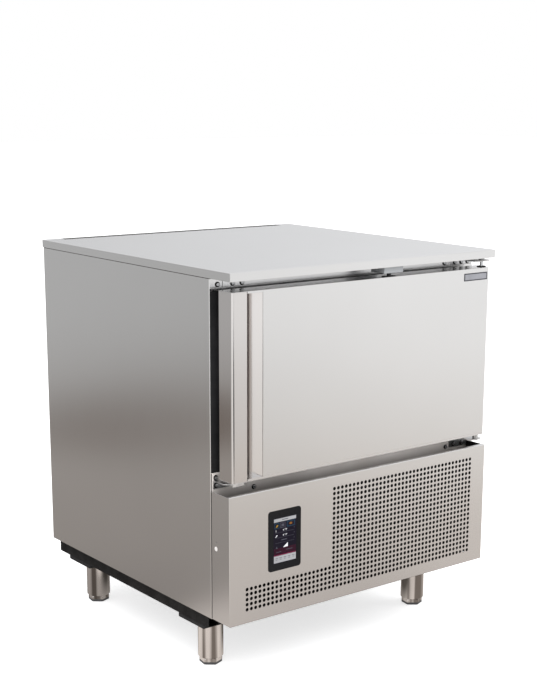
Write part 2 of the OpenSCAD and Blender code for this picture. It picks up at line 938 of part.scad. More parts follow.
// Mouth of the chamber, drawn in by the lip's thickness
module mouth(inward) {
    round_rect([-chamber_x + inward, chamber_z0 + inward], [chamber_x - inward, chamber_z1 - inward],
        liner_r - inward);
}

module frame_screws() {
    color("#b9bbbc")
        for (p = FRAME_SCREWS)
            to_front(p)
                screw();
}

// ---------- chamber ----------

// Ends of the runners, and the gap between the upright legs and the middle
runner_y0 = face_y + runner_gap_front;
runner_y1 = fan_plate_y - runner_gap_rear;
rack_x = tray_space_w / 2;

// Angle runners, one on each side of each level
module tray_runners() {
    color("#c2c4c5")
        for (side = [0, 1], i = [0:levels - 1])
            mirror([side, 0, 0])
                translate([0, 0, chamber_z0 + level_z + i * level_pitch])
                    facing(runner_y0, runner_y1) {
                        rect([rack_x - ledge_w + runner_t, 0], [rack_x + runner_t, runner_t]);
                        rect([rack_x, 0], [rack_x + runner_t, runner_h]);
                    }
}

// Upright posts that carry the runners, two on each side
module rack_posts() {
    post_inset = 30;
    post_x = rack_x + runner_t;
    post_z1 = chamber_z1 - 20;
    color("#b9bbbc")
        for (side = [0, 1], y = [runner_y0 + post_inset, runner_y1 - post_inset])
            mirror([side, 0, 0])
                box([post_x, y - post_w / 2, chamber_z0], [post_x + post_w, y + post_w / 2, post_z1]);
}

module evaporator_coil() {
    color("#b9bdc0")
        finned_coil(-evap_w / 2, evap_w / 2, evap_y0, evap_y1, evap_z0, evap_z0 + evap_h, evap_fin_pitch,
            evap_rows, 2);
}

module evaporator_fan_plate() {
    color("#c6c8c9")
        facing(fan_plate_y, fan_plate_y + fan_plate_t)
            difference() {
                round_rect([-chamber_x + 0.5, chamber_z0 + 1], [chamber_x - 0.5, chamber_z1 - 1], liner_r);
                for (s = [-1, 1])
                    translate([s * evap_fan_pitch / 2, fan_z])
                        circle(d = evap_fan_hole_d);
            }
}

module fan_guards() {
    spokes = 4;
    ring_step = guard_d / 2 / guard_rings;
    color("#b5b7b8")
        for (s = [-1, 1])
            to_front([s * evap_fan_pitch / 2, fan_plate_y, fan_z]) {
                upright(guard_wire, 2 * guard_wire)
                    for (i = [1:guard_rings])
                        difference() {
                            circle(r = i * ring_step);
                            circle(r = i * ring_step - guard_wire);
                        }
                for (k = [0:spokes - 1])
                    rotate(k * 180 / spokes)
                        box([-guard_d / 2 - 8, -guard_wire / 2, 0],
                            [guard_d / 2 + 8, guard_wire / 2, 1.5 * guard_wire]);
            }
}

module evaporator_fan_motors() {
    reach = evap_fan_y - fan_plate_y - fan_plate_t + 4;
    color("#3a3b3d")
        for (s = [-1, 1])
            to_front([s * evap_fan_pitch / 2, evap_fan_y + 4, fan_z])
                fan_motor(evap_motor_l, evap_fan_hole_d / 2 + 10, reach, evap_fan_h * 0.6);
}

module evaporator_fan_left() {
    color("#2b2c2e")
        to_front([-evap_fan_pitch / 2, evap_fan_y, fan_z])
            fan_rotor(evap_fan_d, evap_fan_h, 5);
}

module evaporator_fan_right() {
    color("#2b2c2e")
        to_front([evap_fan_pitch / 2, evap_fan_y, fan_z])
            fan_rotor(evap_fan_d, evap_fan_h, 5);
}

module expansion_valve() {
    color("#b98a3e")
        translate([receiver_x, riser_y, valve_z]) {
            translate([0, 0, fit])
                cylinder(h = 34, d = 18);
            translate([0, 0, 34])
                cylinder(h = 12, d = 24);
            translate([0, 0, 46])
                cylinder(h = 5, d1 = 24, d2 = 16);
        }
}

module condensate_tray() {
    wall = 1.2;
    x = evap_w / 2 + 6;
    y0 = evap_y0 - 8;
    y1 = evap_y1 + 8;
    z0 = chamber_z0 + 2;
    color("#c4c6c7")
        difference() {
            union() {
                box([-x, y0, z0], [x, y1, z0 + tray_h]);
                translate([0, drain_y, drain_end_z])
                    cylinder(h = z0 - drain_end_z + wall, d = drain_d);
            }
            box([-x + wall, y0 + wall, z0 + wall], [x - wall, y1 - wall, z0 + tray_h + cut]);
            translate([0, drain_y, drain_end_z - cut])
                cylinder(h = z0 - drain_end_z + tray_h, d = drain_d - 3);
        }
}

module probe_socket() {
    color("#2a2b2c")
        translate([-chamber_x, face_y + 140, fan_z + 60])
            rotate([0, 90, 0])
                difference() {
                    union() {
                        cylinder(h = 4, d = 34);
                        cylinder(h = 11, d = 22);
                    }
                    translate([0, 0, 4])
                        cylinder(h = 8, d = 9);
                }
}

// ---------- hinges and door switch ----------

// Outline of a hinge arm from x0 to x1 and from y0 back to y1, with round front corners
module arm_outline(x0, x1, y0, y1, r) {
    rect([x0, y0 + r], [x1, y1]);
    rect([x0 + r, y0], [x1 - r, y1]);
    for (x = [x0 + r, x1 - r])
        translate([x, y0 + r])
            circle(r);
}

module top_hinge_bracket() {
    color("#aeb0b1")
        difference() {
            union() {
                box([arm_x1 - top_arm_w - 20, hinge_face_y, top_arm_z1 - 15],
                    [arm_x1, face_y, top_arm_z1 + 4]);
                upright(top_arm_z0, top_arm_z1)
                    arm_outline(arm_x1 - top_arm_w, arm_x1, face_y - top_arm_l, face_y, 9);
            }
            hinge_bore(top_arm_z0, top_arm_z1);
            frame_screw_bores();
        }
}

module bottom_hinge_bracket() {
    color("#b4b6b7")
        difference() {
            union() {
                box([arm_x1 - bottom_arm_w - 16, low_hinge_face_y, bottom_arm_z0 - 25],
                    [arm_x1, rail_y, bottom_arm_z1]);
                upright(bottom_arm_z0, bottom_arm_z1)
                    arm_outline(arm_x1 - bottom_arm_w, arm_x1 - 1, face_y - bottom_arm_l, rail_y, 7);
            }
            hinge_bore(bottom_arm_z0, bottom_arm_z1);
            frame_screw_bores();
        }
}

// Hole on the hinge axis through a plate
module hinge_bore(z0, z1) {
    translate([hinge_x, hinge_y, z0 - cut])
        cylinder(h = z1 - z0 + 2 * cut, d = pin_d);
}

module hinge_pins() {
    head_t = 2.4;
    shoulder_d = 14;
    color("#8f9193") {
        translate([hinge_x, hinge_y, door_z1 - pin_l])
            cylinder(h = top_arm_z1 - door_z1 + pin_l, d = pin_d);
        translate([hinge_x, hinge_y, top_arm_z1])
            cylinder(h = head_t, d = shoulder_d);
        translate([hinge_x, hinge_y, bottom_arm_z0])
            cylinder(h = door_z0 + pin_l - bottom_arm_z0, d = pin_d);
        translate([hinge_x, hinge_y, bottom_arm_z1])
            cylinder(h = bottom_arm_drop - bush_flange_t - gasket_gap, d = shoulder_d);
        translate([hinge_x, hinge_y, bottom_arm_z0 - head_t])
            cylinder(h = head_t, d = shoulder_d);
    }
}

module spare_hinge_bracket() {
    x1 = spare_x0 + spare_w;
    y0 = face_y - spare_l;
    color("#bcbcba")
        difference() {
            union() {
                box([spare_x0, rail_y - spare_t, spare_z1 - spare_h], [x1, rail_y, spare_z1]);
                upright(spare_z1 - spare_t, spare_z1)
                    polygon([[spare_x0, rail_y], [spare_x0, y0 + spare_chamfer],
                        [spare_x0 + spare_chamfer, y0], [x1, y0], [x1, rail_y]]);
                box([spare_x0 + spare_chamfer, y0, spare_z1 - spare_lip], [x1, y0 + spare_t, spare_z1]);
            }
            translate([spare_x0 + 17, hinge_y, spare_z1 - spare_t - cut])
                cylinder(h = spare_t + 2 * cut, d = pin_d);
            frame_screw_bores();
        }
}

module door_switch() {
    y0 = top_front_y + switch_inset;
    z0 = top_z - switch_h;
    wall = 1.5;
    color("#8d8f91")
        difference() {
            box([switch_x, y0, z0], [switch_x + switch_w, y0 + switch_d, top_z]);
            box([switch_x + wall, y0 + wall, z0 + wall],
                [switch_x + switch_w - wall, y0 + switch_d + cut, top_z - wall]);
        }
    color("#8d8f91")
        translate([switch_x, y0 + switch_d * 0.6, z0 + switch_h / 2])
            rotate([0, -90, 0])
                cylinder(h = 1.6, d = 6);
}

// ---------- front panel and display ----------

bezel_x0 = -pan_x + bezel_inset_x;
bezel_z1 = pan_z1 - bezel_inset_z;
bezel_z0 = bezel_z1 - bezel_h;
bezel_rim = 4;
screen_x0 = bezel_x0 + (bezel_w - screen_w) / 2;
screen_z1 = bezel_z1 - screen_inset_z;
plug_y = pan_y1 - plug_inset_y;
plug_z = pan_z1 - plug_inset_z;
hole_cols = floor((2 * pan_x - 2 * hole_inset_x) / hole_pitch) + 1;
hole_rows = floor((pan_z1 - pan_z0 - 2 * hole_inset_z) / hole_pitch) + 1;
hole_rows_high = hole_rows - hole_rows_low;

module front_panel() {
    color("#bdb6b0")
        union() {
            facing(pan_y0, pan_y0 + pan_t)
                difference() {
                    rect([-pan_x, pan_z0], [pan_x, pan_z1]);
                    perforations();
                    rect([bezel_x0 + bezel_rim, bezel_z0 + bezel_rim],
                        [bezel_x0 + bezel_w - bezel_rim, bezel_z1 - bezel_rim]);
                }
            box([-pan_x, pan_y0 + pan_t, pan_z1 - pan_t], [pan_x, pan_y0 + hem_d, pan_z1]);
            box([-pan_x, pan_y0 + pan_t, pan_z0], [pan_x, pan_y0 + hem_d, pan_z0 + pan_t]);
        }
}

// Square grid of round holes, full width below and beside the display above
module perforations() {
    for (row = [0:hole_rows - 1])
        for (col = [row < hole_rows_high ? hole_cols_out : 0:hole_cols - 1])
            translate([-pan_x + hole_inset_x + col * hole_pitch, pan_z1 - hole_inset_z - row * hole_pitch])
                circle(d = hole_d);
}

module front_panel_cheeks() {
    small_hole_d = 3;
    color("#a39d97")
        for (s = [-1, 1])
            difference() {
                mirror([s < 0 ? 1 : 0, 0, 0])
                    box([pan_x - pan_t, pan_y0 + pan_t, pan_z0 + pan_t], [pan_x, pan_y1, pan_z1 - pan_t]);
                translate([-pan_x - cut, plug_y, plug_z])
                    rotate([0, 90, 0])
                        cylinder(h = pan_t + 2 * cut, d = plug_d - 2.5);
                translate([-pan_x - cut, plug_y - 1, plug_z + 15])
                    rotate([0, 90, 0])
                        cylinder(h = pan_t + 2 * cut, d = small_hole_d);
            }
}

module cheek_plug() {
    dome_t = 0.6;
    color("#ececea")
        translate([-pan_x, plug_y, plug_z])
            rotate([0, 90, 0]) {
                translate([0, 0, -dome_t])
                    cylinder(h = dome_t, d = plug_d);
                cylinder(h = pan_t + 4, d = plug_d - 2.5);
            }
}

module display_bezel() {
    rim_y = pan_y0 - bezel_t;
    inset = bezel_rim + fit;
    color("#101112")
        difference() {
            union() {
                facing(rim_y, pan_y0)
                    round_rect([bezel_x0, bezel_z0], [bezel_x0 + bezel_w, bezel_z1], bezel_r);
                box([bezel_x0 + inset, pan_y0, bezel_z0 + inset],
                    [bezel_x0 + bezel_w - inset, pan_y0 + bezel_body_d, bezel_z1 - inset]);
            }
            box([screen_x0, rim_y - cut, screen_z1 - screen_h],
                [screen_x0 + screen_w, rim_y + screen_t, screen_z1]);
        }
}

module touch_screen() {
    rim_y = pan_y0 - bezel_t;
    color("#26292c")
        box([screen_x0, rim_y + 0.1, screen_z1 - screen_h],
            [screen_x0 + screen_w, rim_y + screen_t, screen_z1]);
}

module control_box() {
    x0 = bezel_x0 - control_margin;
    x1 = bezel_x0 + bezel_w + control_margin;
    y0 = pan_y0 + bezel_body_d + control_gap;
    y1 = rail_y - 1;
    z0 = bezel_z0 - 10;
    z1 = frame_z0 - bottom_rail_h - 4;
    color("#9b9d9f")
        difference() {
            box([x0, y0, z0], [x1, y1, z1]);
            box([x0 + control_t, y0 + control_t, z0 + control_t],
                [x1 - control_t, y1 - control_t, z1 - control_t]);
        }
}

// ---------- chassis, legs and feet ----------

leg_x = leg_pitch_x / 2;
leg_front_y = top_front_y + leg_inset_front;
leg_rear_y = top_rear_y - leg_inset_rear;
rail_x1 = side_x - rail_inset;
rail_x0 = rail_x1 - chassis_rail_w;
chassis_y0 = face_y + 41;
chassis_y1 = shell_rear_y - 3;

module chassis() {
    cross_w = 40;
    color("#1b1b1b") {
        box([-inner_x + fit, face_y + skin_t + fit, bay_z], [inner_x - fit, rear_panel_y - fit, floor_z]);
        for (s = [-1, 1])
            mirror([s < 0 ? 1 : 0, 0, 0])
                facing(chassis_y0, chassis_y1)
                    difference() {
                        rect([rail_x0, chassis_z], [rail_x1, bay_z]);
                        rect([rail_x0 + chassis_wall, chassis_z + chassis_wall],
                            [rail_x1 - chassis_wall, bay_z - chassis_wall]);
                    }
        for (y = [chassis_y0, chassis_y1 - cross_w])
            sideways(-rail_x0, rail_x0)
                difference() {
                    rect([y, chassis_z], [y + cross_w, bay_z]);
                    rect([y + chassis_wall, chassis_z + chassis_wall],
                        [y + cross_w - chassis_wall, bay_z - chassis_wall]);
                }
    }
}

// Places of the four legs
function leg_spot(sx, front) = [sx * leg_x, front ? leg_front_y : leg_rear_y, 0];

module leg_blocks() {
    color("#202020")
        for (sx = [-1, 1], front = [true, false])
            translate(leg_spot(sx, front))
                mirror([sx < 0 ? 1 : 0, 0, 0])
                    box([rail_x1 - leg_x - block_w, -block_l / 2 + 5, block_z],
                        [rail_x1 - leg_x, block_l / 2 + 5, chassis_z]);
}

module legs() {
    chamfer = 2;
    insert_h = 22;
    cover_t = 3;
    color("#a9a7a4")
        for (sx = [-1, 1], front = [true, false])
            translate(leg_spot(sx, front))
                difference() {
                    union() {
                        translate([0, 0, foot_h])
                            cylinder(h = chamfer, d1 = leg_d - 2 * chamfer, d2 = leg_d);
                        translate([0, 0, foot_h + chamfer])
                            cylinder(h = block_z - foot_h - chamfer, d = leg_d);
                    }
                    translate([0, 0, foot_h + insert_h])
                        cylinder(h = block_z - foot_h - insert_h - cover_t, d = leg_d - 2 * leg_wall);
                    translate([0, 0, foot_h - cut])
                        cylinder(h = insert_h + 2 * cut, d = stem_d + 2 * stem_gap);
                }
}

module foot(sx, front) {
    taper_h = 5;
    taper = 3;
    flat_d = foot_hex_d * cos(30);
    color("#8e8d8b")
        translate(leg_spot(sx, front)) {
            cylinder(h = taper_h, d1 = flat_d - 2 * taper, d2 = flat_d);
            translate([0, 0, taper_h])
                cylinder(h = foot_h - gasket_gap - taper_h, d = foot_hex_d, $fn = 6);
            cylinder(h = foot_h + stem_l, d = stem_d);
        }
}

module foot_front_left() foot(-1, true);

module foot_front_right() foot(1, true);

module foot_rear_left() foot(-1, false);

module foot_rear_right() foot(1, false);

// ---------- machine bay ----------

module compressor() {
    color("#242526") {
        translate([compressor_x, compressor_y, compressor_z + compressor_plate_t])
            vessel(compressor_d, compressor_h, 40);
        translate([compressor_x, compressor_y, compressor_z])
            upright(0, compressor_plate_t + 1)
                difference() {
                    square(compressor_foot + mount_d, center = true);
                    for (sx = [-1, 1], sy = [-1, 1])
                        translate([sx, sy] * compressor_foot / 2)
                            circle(d = mount_pin_d);
                }
        translate([compressor_x - compressor_d / 2 - 24, compressor_y - 35, compressor_z + 70])
            cube([50, 70, 80]);
    }
}

module compressor_mounts() {
    flange_t = 3;
    half = compressor_foot / 2;
    color("#161616")
        for (sx = [-1, 1], sy = [-1, 1])
            translate([compressor_x + sx * half, compressor_y + sy * half, floor_z]) {
                cylinder(h = mount_h, d = mount_d);
                cylinder(h = mount_h + compressor_plate_t + 1 + flange_t, d = mount_pin_d);
                translate([0, 0, mount_h + compressor_plate_t + 1])
                    cylinder(h = flange_t, d = mount_d * 0.6);
            }
}

module condenser_coil() {
    color("#8b8f92")
        finned_coil(cond_x0, cond_x1, cond_y0, cond_y1, cond_z0, cond_z0 + cond_h, cond_fin_pitch,
            cond_rows, 2);
}

module condenser_cowl() {
    y1 = cond_y1 + cowl_d;
    color("#2d2e2f")
        difference() {
            box([cond_x0, cond_y1, cond_z0], [cond_x1, y1, cond_z0 + cond_h]);
            box([cond_x0 + cowl_t, cond_y1 - cut, cond_z0 + cowl_t],
                [cond_x1 - cowl_t, y1 - cowl_t, cond_z0 + cond_h - cowl_t]);
            to_front([cond_fan_x, y1 + cut, cond_fan_z])
                cylinder(h = cowl_t + 2 * cut, d = cond_fan_d + 10);
        }
}

module condenser_fan() {
    color("#c9cbcc")
        to_front([cond_fan_x, cond_fan_y, cond_fan_z])
            fan_rotor(cond_fan_d, cond_fan_h, 5);
}

module condenser_fan_motor() {
    reach = cond_fan_y + 4 - cond_y1 - cowl_d;
    color("#2b2c2d") {
        to_front([cond_fan_x, cond_fan_y + 4, cond_fan_z])
            fan_motor(cond_motor_l, cond_fan_d / 2 + 8, reach, cond_fan_h * 0.6);
    }
}

module liquid_receiver() {
    color("#1f2021")
        translate([receiver_x, receiver_y, floor_z])
            vessel(receiver_d, receiver_h, 16);
}

module filter_drier() {
    neck = 14;
    neck_d = liquid_d + 3;
    color("#8c5a2b")
        translate([receiver_x, drier_y0, drier_z])
            rotate([-90, 0, 0])
                rotate_extrude() {
                    rect([0, neck], [drier_d / 2, drier_l - neck]);
                    rect([0, 0], [neck_d / 2, drier_l]);
                }
}

module refrigerant_pipes() {
    coil_end = cond_x1 + end_plate_t;
    coil_y = (cond_y0 + cond_y1) / 2;
    riser = receiver_y + 100;
    color("#b06a3a") {
        // discharge, from the compressor to the condenser
        pipe([[compressor_x + compressor_d / 2, compressor_y, discharge_z],
            [pipe_lane_x, compressor_y, discharge_z], [pipe_lane_x, coil_y, discharge_z],
            [coil_end, coil_y, discharge_z]], liquid_d);
        // liquid, from the condenser to the receiver
        pipe([[coil_end, coil_y, liquid_z], [pipe_lane_x, coil_y, liquid_z],
            [pipe_lane_x, receiver_y, liquid_z],
            [receiver_x + receiver_d / 2, receiver_y, liquid_z]], liquid_d);
        // liquid, from the receiver to the filter drier
        pipe([[receiver_x, receiver_y, floor_z + receiver_h], [receiver_x, receiver_y, drier_z],
            [receiver_x, riser, drier_z]], liquid_d);
        // liquid, from the filter drier up to the expansion valve
        pipe([[receiver_x, drier_y0 + drier_l, drier_z], [receiver_x, riser_y, drier_z],
            [receiver_x, riser_y, valve_z]], liquid_d);
        // suction, from the evaporator down to the compressor
        pipe([[evap_w / 2 + end_plate_t, suction_y, suction_z], [suction_x, suction_y, suction_z],
            [suction_x, suction_y, suction_low_z], [suction_x, compressor_y, suction_low_z],
            [compressor_x, compressor_y, suction_low_z],
            [compressor_x, compressor_y, compressor_z + compressor_plate_t + compressor_h]], suction_d);
    }
}

module mains_inlet() {
    flange_t = 3;
    bore_d = 11;
    y = rear_panel_y;
    color("#1a1a1a")
        to_front([inlet_x, y + rear_t + 2, inlet_z])
            difference() {
                union() {
                    cylinder(h = rear_t + 14, d = inlet_d);
                    cylinder(h = 2, d = inlet_d + 8, $fn = 6);
                    translate([0, 0, rear_t + 2])
                        cylinder(h = flange_t, d = inlet_d + 8, $fn = 6);
                }
                translate([0, 0, -cut])
                    cylinder(h = rear_t + 14 + 2 * cut, d = bore_d);
            }
}

// ---------- door ----------

// Outline of the door in X and Y, with round upright edges at the front
module door_outline() {
    difference() {
        rect([-door_x, door_y0], [door_x, door_y1]);
        translate([-door_x, door_y0])
            corner_waste(door_edge_r);
        translate([door_x, door_y0])
            mirror([1, 0])
                corner_waste(door_edge_r);
    }
}

// Finger groove of the handle, open to the front
module groove() {
    mouth_x0 = -door_x + bar_w;
    wall_x = -door_x + handle_wall;
    back_y = door_y0 + groove_d;
    polygon([[mouth_x0, door_y0 - cut], [mouth_x0, door_y0 + bar_t], [wall_x, door_y0 + bar_t],
        [wall_x, back_y], [handle_x1 - slope_w, back_y], [handle_x1, door_y0], [handle_x1, door_y0 - cut]]);
}

// Where a line that runs behind the groove's sloping side, a wall's thickness away, reaches a depth
function behind_slope_x(wall, depth) =
    handle_x1 + (wall * norm([slope_w, groove_d]) - depth * slope_w) / groove_d;

module door_handle() {
    shell_y = door_y0 + door_skin_t;
    back_d = groove_d + handle_wall;
    back_y = door_y0 + back_d;
    color("#cfcac5")
        upright(door_z0 + cap_t, door_z1 - cap_t)
            difference() {
                polygon([[-door_x, door_y0], [handle_x1, door_y0], [handle_x1, shell_y],
                    [behind_slope_x(handle_wall, door_skin_t), shell_y],
                    [behind_slope_x(handle_wall, back_d), back_y],
                    [-door_x + handle_wall, back_y], [-door_x + handle_wall, door_y1], [-door_x, door_y1]]);
                groove();
                rect([-door_x + door_edge_r, door_y0 + handle_wall],
                    [-door_x + bar_w - handle_wall, door_y0 + bar_t - handle_wall]);
                translate([-door_x, door_y0])
                    corner_waste(door_edge_r);
            }
}

module door_end_caps() {
    color("#c3c0bc")
        for (end = [[door_z0, door_z0 + cap_t, door_z0 + cap_t + cap_plug],
                [door_z1, door_z1 - cap_t, door_z1 - cap_t - cap_plug]]) {
            upright(min(end[0], end[1]), max(end[0], end[1]))
                intersection() {
                    door_outline();
                    rect([-door_x, door_y0], [handle_x1, door_y1]);
                }
            upright(min(end[1], end[2]), max(end[1], end[2]))
                intersection() {
                    groove();
                    rect([-door_x, door_y0], [handle_x1, door_y1]);
                }
        }
}

module door_skin() {
    color("#d8d7d3") {
        difference() {
            upright(door_z0, door_z1)
                intersection() {
                    door_outline();
                    rect([handle_x1, door_y0], [door_x, door_y1]);
                }
            upright(door_z0 + door_skin_t, door_z1 - door_skin_t)
                difference() {
                    rect([handle_x1 - cut, door_y0 + door_skin_t], [door_x - door_skin_t, door_y1 + cut]);
                    translate([door_x - door_skin_t, door_y0 + door_skin_t])
                        mirror([1, 0])
                            corner_waste(door_edge_r - door_skin_t);
                }
            bush_bores(bush_d);
        }
    }
}

// Holes for the bushes in the door's top and bottom
module bush_bores(d) {
    for (z = [door_z0 - cut, door_z1 - pin_l - 4])
        translate([hinge_x, hinge_y, z])
            cylinder(h = pin_l + 4 + cut, d = d);
}

// Corners of the raised panel on the door's inner face
plateau_x = door_x - gasket_inset - gasket_w - plateau_gap;
plateau_z0 = door_z0 + gasket_inset + gasket_w + plateau_gap;
plateau_z1 = door_z1 - gasket_inset - gasket_w - plateau_gap;

module door_insulation() {
    clear = handle_wall + fit;
    handle_back_y = door_y0 + groove_d + clear;
    shell_y = door_y0 + door_skin_t;
    color("#e6dcb0")
        difference() {
            union() {
                upright(door_z0 + cap_t, door_z1 - cap_t)
                    difference() {
                        polygon([[behind_slope_x(clear, door_skin_t), shell_y],
                            [door_x - door_skin_t, shell_y], [door_x - door_skin_t, door_y1 - door_skin_t],
                            [-door_x + clear, door_y1 - door_skin_t], [-door_x + clear, handle_back_y],
                            [behind_slope_x(clear, groove_d + clear), handle_back_y]]);
                        translate([door_x - door_skin_t, door_y0 + door_skin_t])
                            mirror([1, 0])
                                corner_waste(door_edge_r - door_skin_t);
                    }
                box([-plateau_x + door_skin_t, door_y1 - door_skin_t, plateau_z0 + door_skin_t],
                    [plateau_x - door_skin_t, door_y1 + plateau_t - door_skin_t, plateau_z1 - door_skin_t]);
            }
            bush_bores(bush_d);
        }
}

module door_liner() {
    edge = door_skin_t + fit;
    color("#c6c8c9")
        difference() {
            union() {
                box([-door_x + handle_wall + fit, door_y1 - door_skin_t, door_z0 + edge],
                    [door_x - edge, door_y1, door_z1 - edge]);
                box([-plateau_x, door_y1 - door_skin_t, plateau_z0],
                    [plateau_x, door_y1 + plateau_t, plateau_z1]);
            }
            box([-plateau_x + door_skin_t, door_y1 - door_skin_t - cut, plateau_z0 + door_skin_t],
                [plateau_x - door_skin_t, door_y1 + plateau_t - door_skin_t, plateau_z1 - door_skin_t]);
        }
}

// Ring along the door's edge, from one inset to another
module door_ring(inset0, inset1) {
    difference() {
        rect([-door_x + inset0, door_z0 + inset0], [door_x - inset0, door_z1 - inset0]);
        rect([-door_x + inset1, door_z0 + inset1], [door_x - inset1, door_z1 - inset1]);
    }
}

module door_gasket() {
    neck_d = 5;
    neck_in = 3;
    inner = gasket_inset + gasket_w;
    color("#17181a") {
        facing(door_y1, door_y1 + neck_d)
            door_ring(gasket_inset + neck_in, inner - neck_in);
        facing(door_y1 + neck_d, door_y1 + gasket_t)
            door_ring(gasket_inset, inner);
    }
}

module badge_plate() {
    x1 = door_x - badge_inset_x;
    z1 = door_z1 - badge_inset_z;
    color("#9a9c9e")
        facing(door_y0 - badge_t, door_y0)
            round_rect([x1 - badge_w, z1 - badge_h], [x1, z1], 1);
}

module door_magnet() {
    base_t = 1.6;
    y0 = door_y0 + 2;
    x = switch_x + switch_w * 0.36;
    knob_h = top_z - switch_h - door_z1 - 0.8;
    color("#18191a") {
        box([x - magnet_l / 2, y0, door_z1], [x + magnet_l / 2, y0 + magnet_d + 4, door_z1 + base_t]);
        translate([x, y0 + magnet_d / 2 + 2, door_z1 + base_t / 2])
            cylinder(h = knob_h - base_t / 2, d = magnet_d);
    }
}

// Flanged bush that stands on the door's end and reaches down into it
module bush() {
    difference() {
        union() {
            translate([0, 0, -pin_l - 4])
                cylinder(h = pin_l + 4, d = bush_d);
            cylinder(h = bush_flange_t, d = bush_flange_d);
        }
        translate([0, 0, -pin_l - 1])
            cylinder(h = pin_l + bush_flange_t + 2 * cut, d = pin_d + 2 * pin_gap);
    }
}

module door_bushes() {
    color("#252627") {
        translate([hinge_x, hinge_y, door_z1])
            bush();
        translate([hinge_x, hinge_y, door_z0])
            mirror([0, 0, 1])
                bush();
    }
}

// ---------- the whole machine ----------

worktop();
worktop_core();
rear_vent_strip();
side_panel_left();
side_panel_right();
rear_panel();
cabinet_insulation();
chamber_liner();
top_rail();
bottom_rail();
breaker_frame();
frame_screws();
tray_runners();
rack_posts();
evaporator_coil();
evaporator_fan_plate();
fan_guards();
evaporator_fan_motors();
evaporator_fan_left();
evaporator_fan_right();
expansion_valve();
condensate_tray();
probe_socket();
top_hinge_bracket();
bottom_hinge_bracket();
hinge_pins();
spare_hinge_bracket();
door_switch();
front_panel();
front_panel_cheeks();
cheek_plug();
display_bezel();
touch_screen();
control_box();
chassis();
leg_blocks();
legs();
foot_front_left();
foot_front_right();
foot_rear_left();
foot_rear_right();
compressor();
compressor_mounts();
condenser_coil();
condenser_cowl();
condenser_fan();
condenser_fan_motor();
liquid_receiver();
filter_drier();
refrigerant_pipes();
mains_inlet();
door_skin();
door_handle();
door_end_caps();
door_insulation();
door_liner();
door_gasket();
badge_plate();
door_magnet();
door_bushes();
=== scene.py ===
"""Looks of an under-counter blast chiller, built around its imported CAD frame.

Lengths inside the classes are in millimetres, as in the part's source. Shell.mesh() turns them
into metres.
"""

import json
import logging
import math
from dataclasses import dataclass
from enum import Enum
from typing import Sequence

import bmesh
import bpy
import numpy as np
from mathutils import Matrix, Vector, geometry

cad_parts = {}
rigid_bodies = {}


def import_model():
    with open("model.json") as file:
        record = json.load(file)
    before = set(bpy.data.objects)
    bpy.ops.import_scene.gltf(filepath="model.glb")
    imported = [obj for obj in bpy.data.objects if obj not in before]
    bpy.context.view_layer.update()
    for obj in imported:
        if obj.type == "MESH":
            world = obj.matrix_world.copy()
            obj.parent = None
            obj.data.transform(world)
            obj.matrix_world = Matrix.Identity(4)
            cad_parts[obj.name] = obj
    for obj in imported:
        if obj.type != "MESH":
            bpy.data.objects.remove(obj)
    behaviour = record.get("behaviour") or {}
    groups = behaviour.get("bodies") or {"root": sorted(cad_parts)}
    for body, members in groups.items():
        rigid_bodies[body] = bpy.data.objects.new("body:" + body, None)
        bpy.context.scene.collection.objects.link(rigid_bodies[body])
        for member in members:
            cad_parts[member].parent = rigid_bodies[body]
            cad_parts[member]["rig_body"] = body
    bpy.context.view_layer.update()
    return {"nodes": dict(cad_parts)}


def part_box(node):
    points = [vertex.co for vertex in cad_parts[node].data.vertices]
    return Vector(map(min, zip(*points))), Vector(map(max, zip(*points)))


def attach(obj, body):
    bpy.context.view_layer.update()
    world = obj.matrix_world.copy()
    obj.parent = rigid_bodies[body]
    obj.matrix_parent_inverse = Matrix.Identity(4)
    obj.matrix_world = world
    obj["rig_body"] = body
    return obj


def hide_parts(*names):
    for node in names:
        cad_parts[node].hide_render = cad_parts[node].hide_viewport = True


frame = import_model()

LOG = logging.getLogger("blast_chiller")
MM = 0.001
Loop = np.ndarray
Colour = tuple[float, float, float]
Tree = bpy.types.NodeTree
Socket = bpy.types.NodeSocket


# ---------------------------------------------------------------- shapes


class Axis(Enum):
    """Direction that a flat outline is carried along: (first, second, along) coordinate numbers."""

    X = (1, 2, 0)
    Y = (0, 2, 1)
    Z = (0, 1, 2)

    def place(self, flat: np.ndarray, along: np.ndarray | float) -> np.ndarray:
        """Points in space of flat points at a height along this axis.

        Args:
            flat: the points' two coordinates across the axis, in the last dimension.
            along: the height of each point, or one height for all.

        Returns:
            The points, with three coordinates in the last dimension.
        """
        first, second, third = self.value
        out = np.empty(flat.shape[:-1] + (3,))
        out[..., first] = flat[..., 0]
        out[..., second] = flat[..., 1]
        out[..., third] = along
        return out


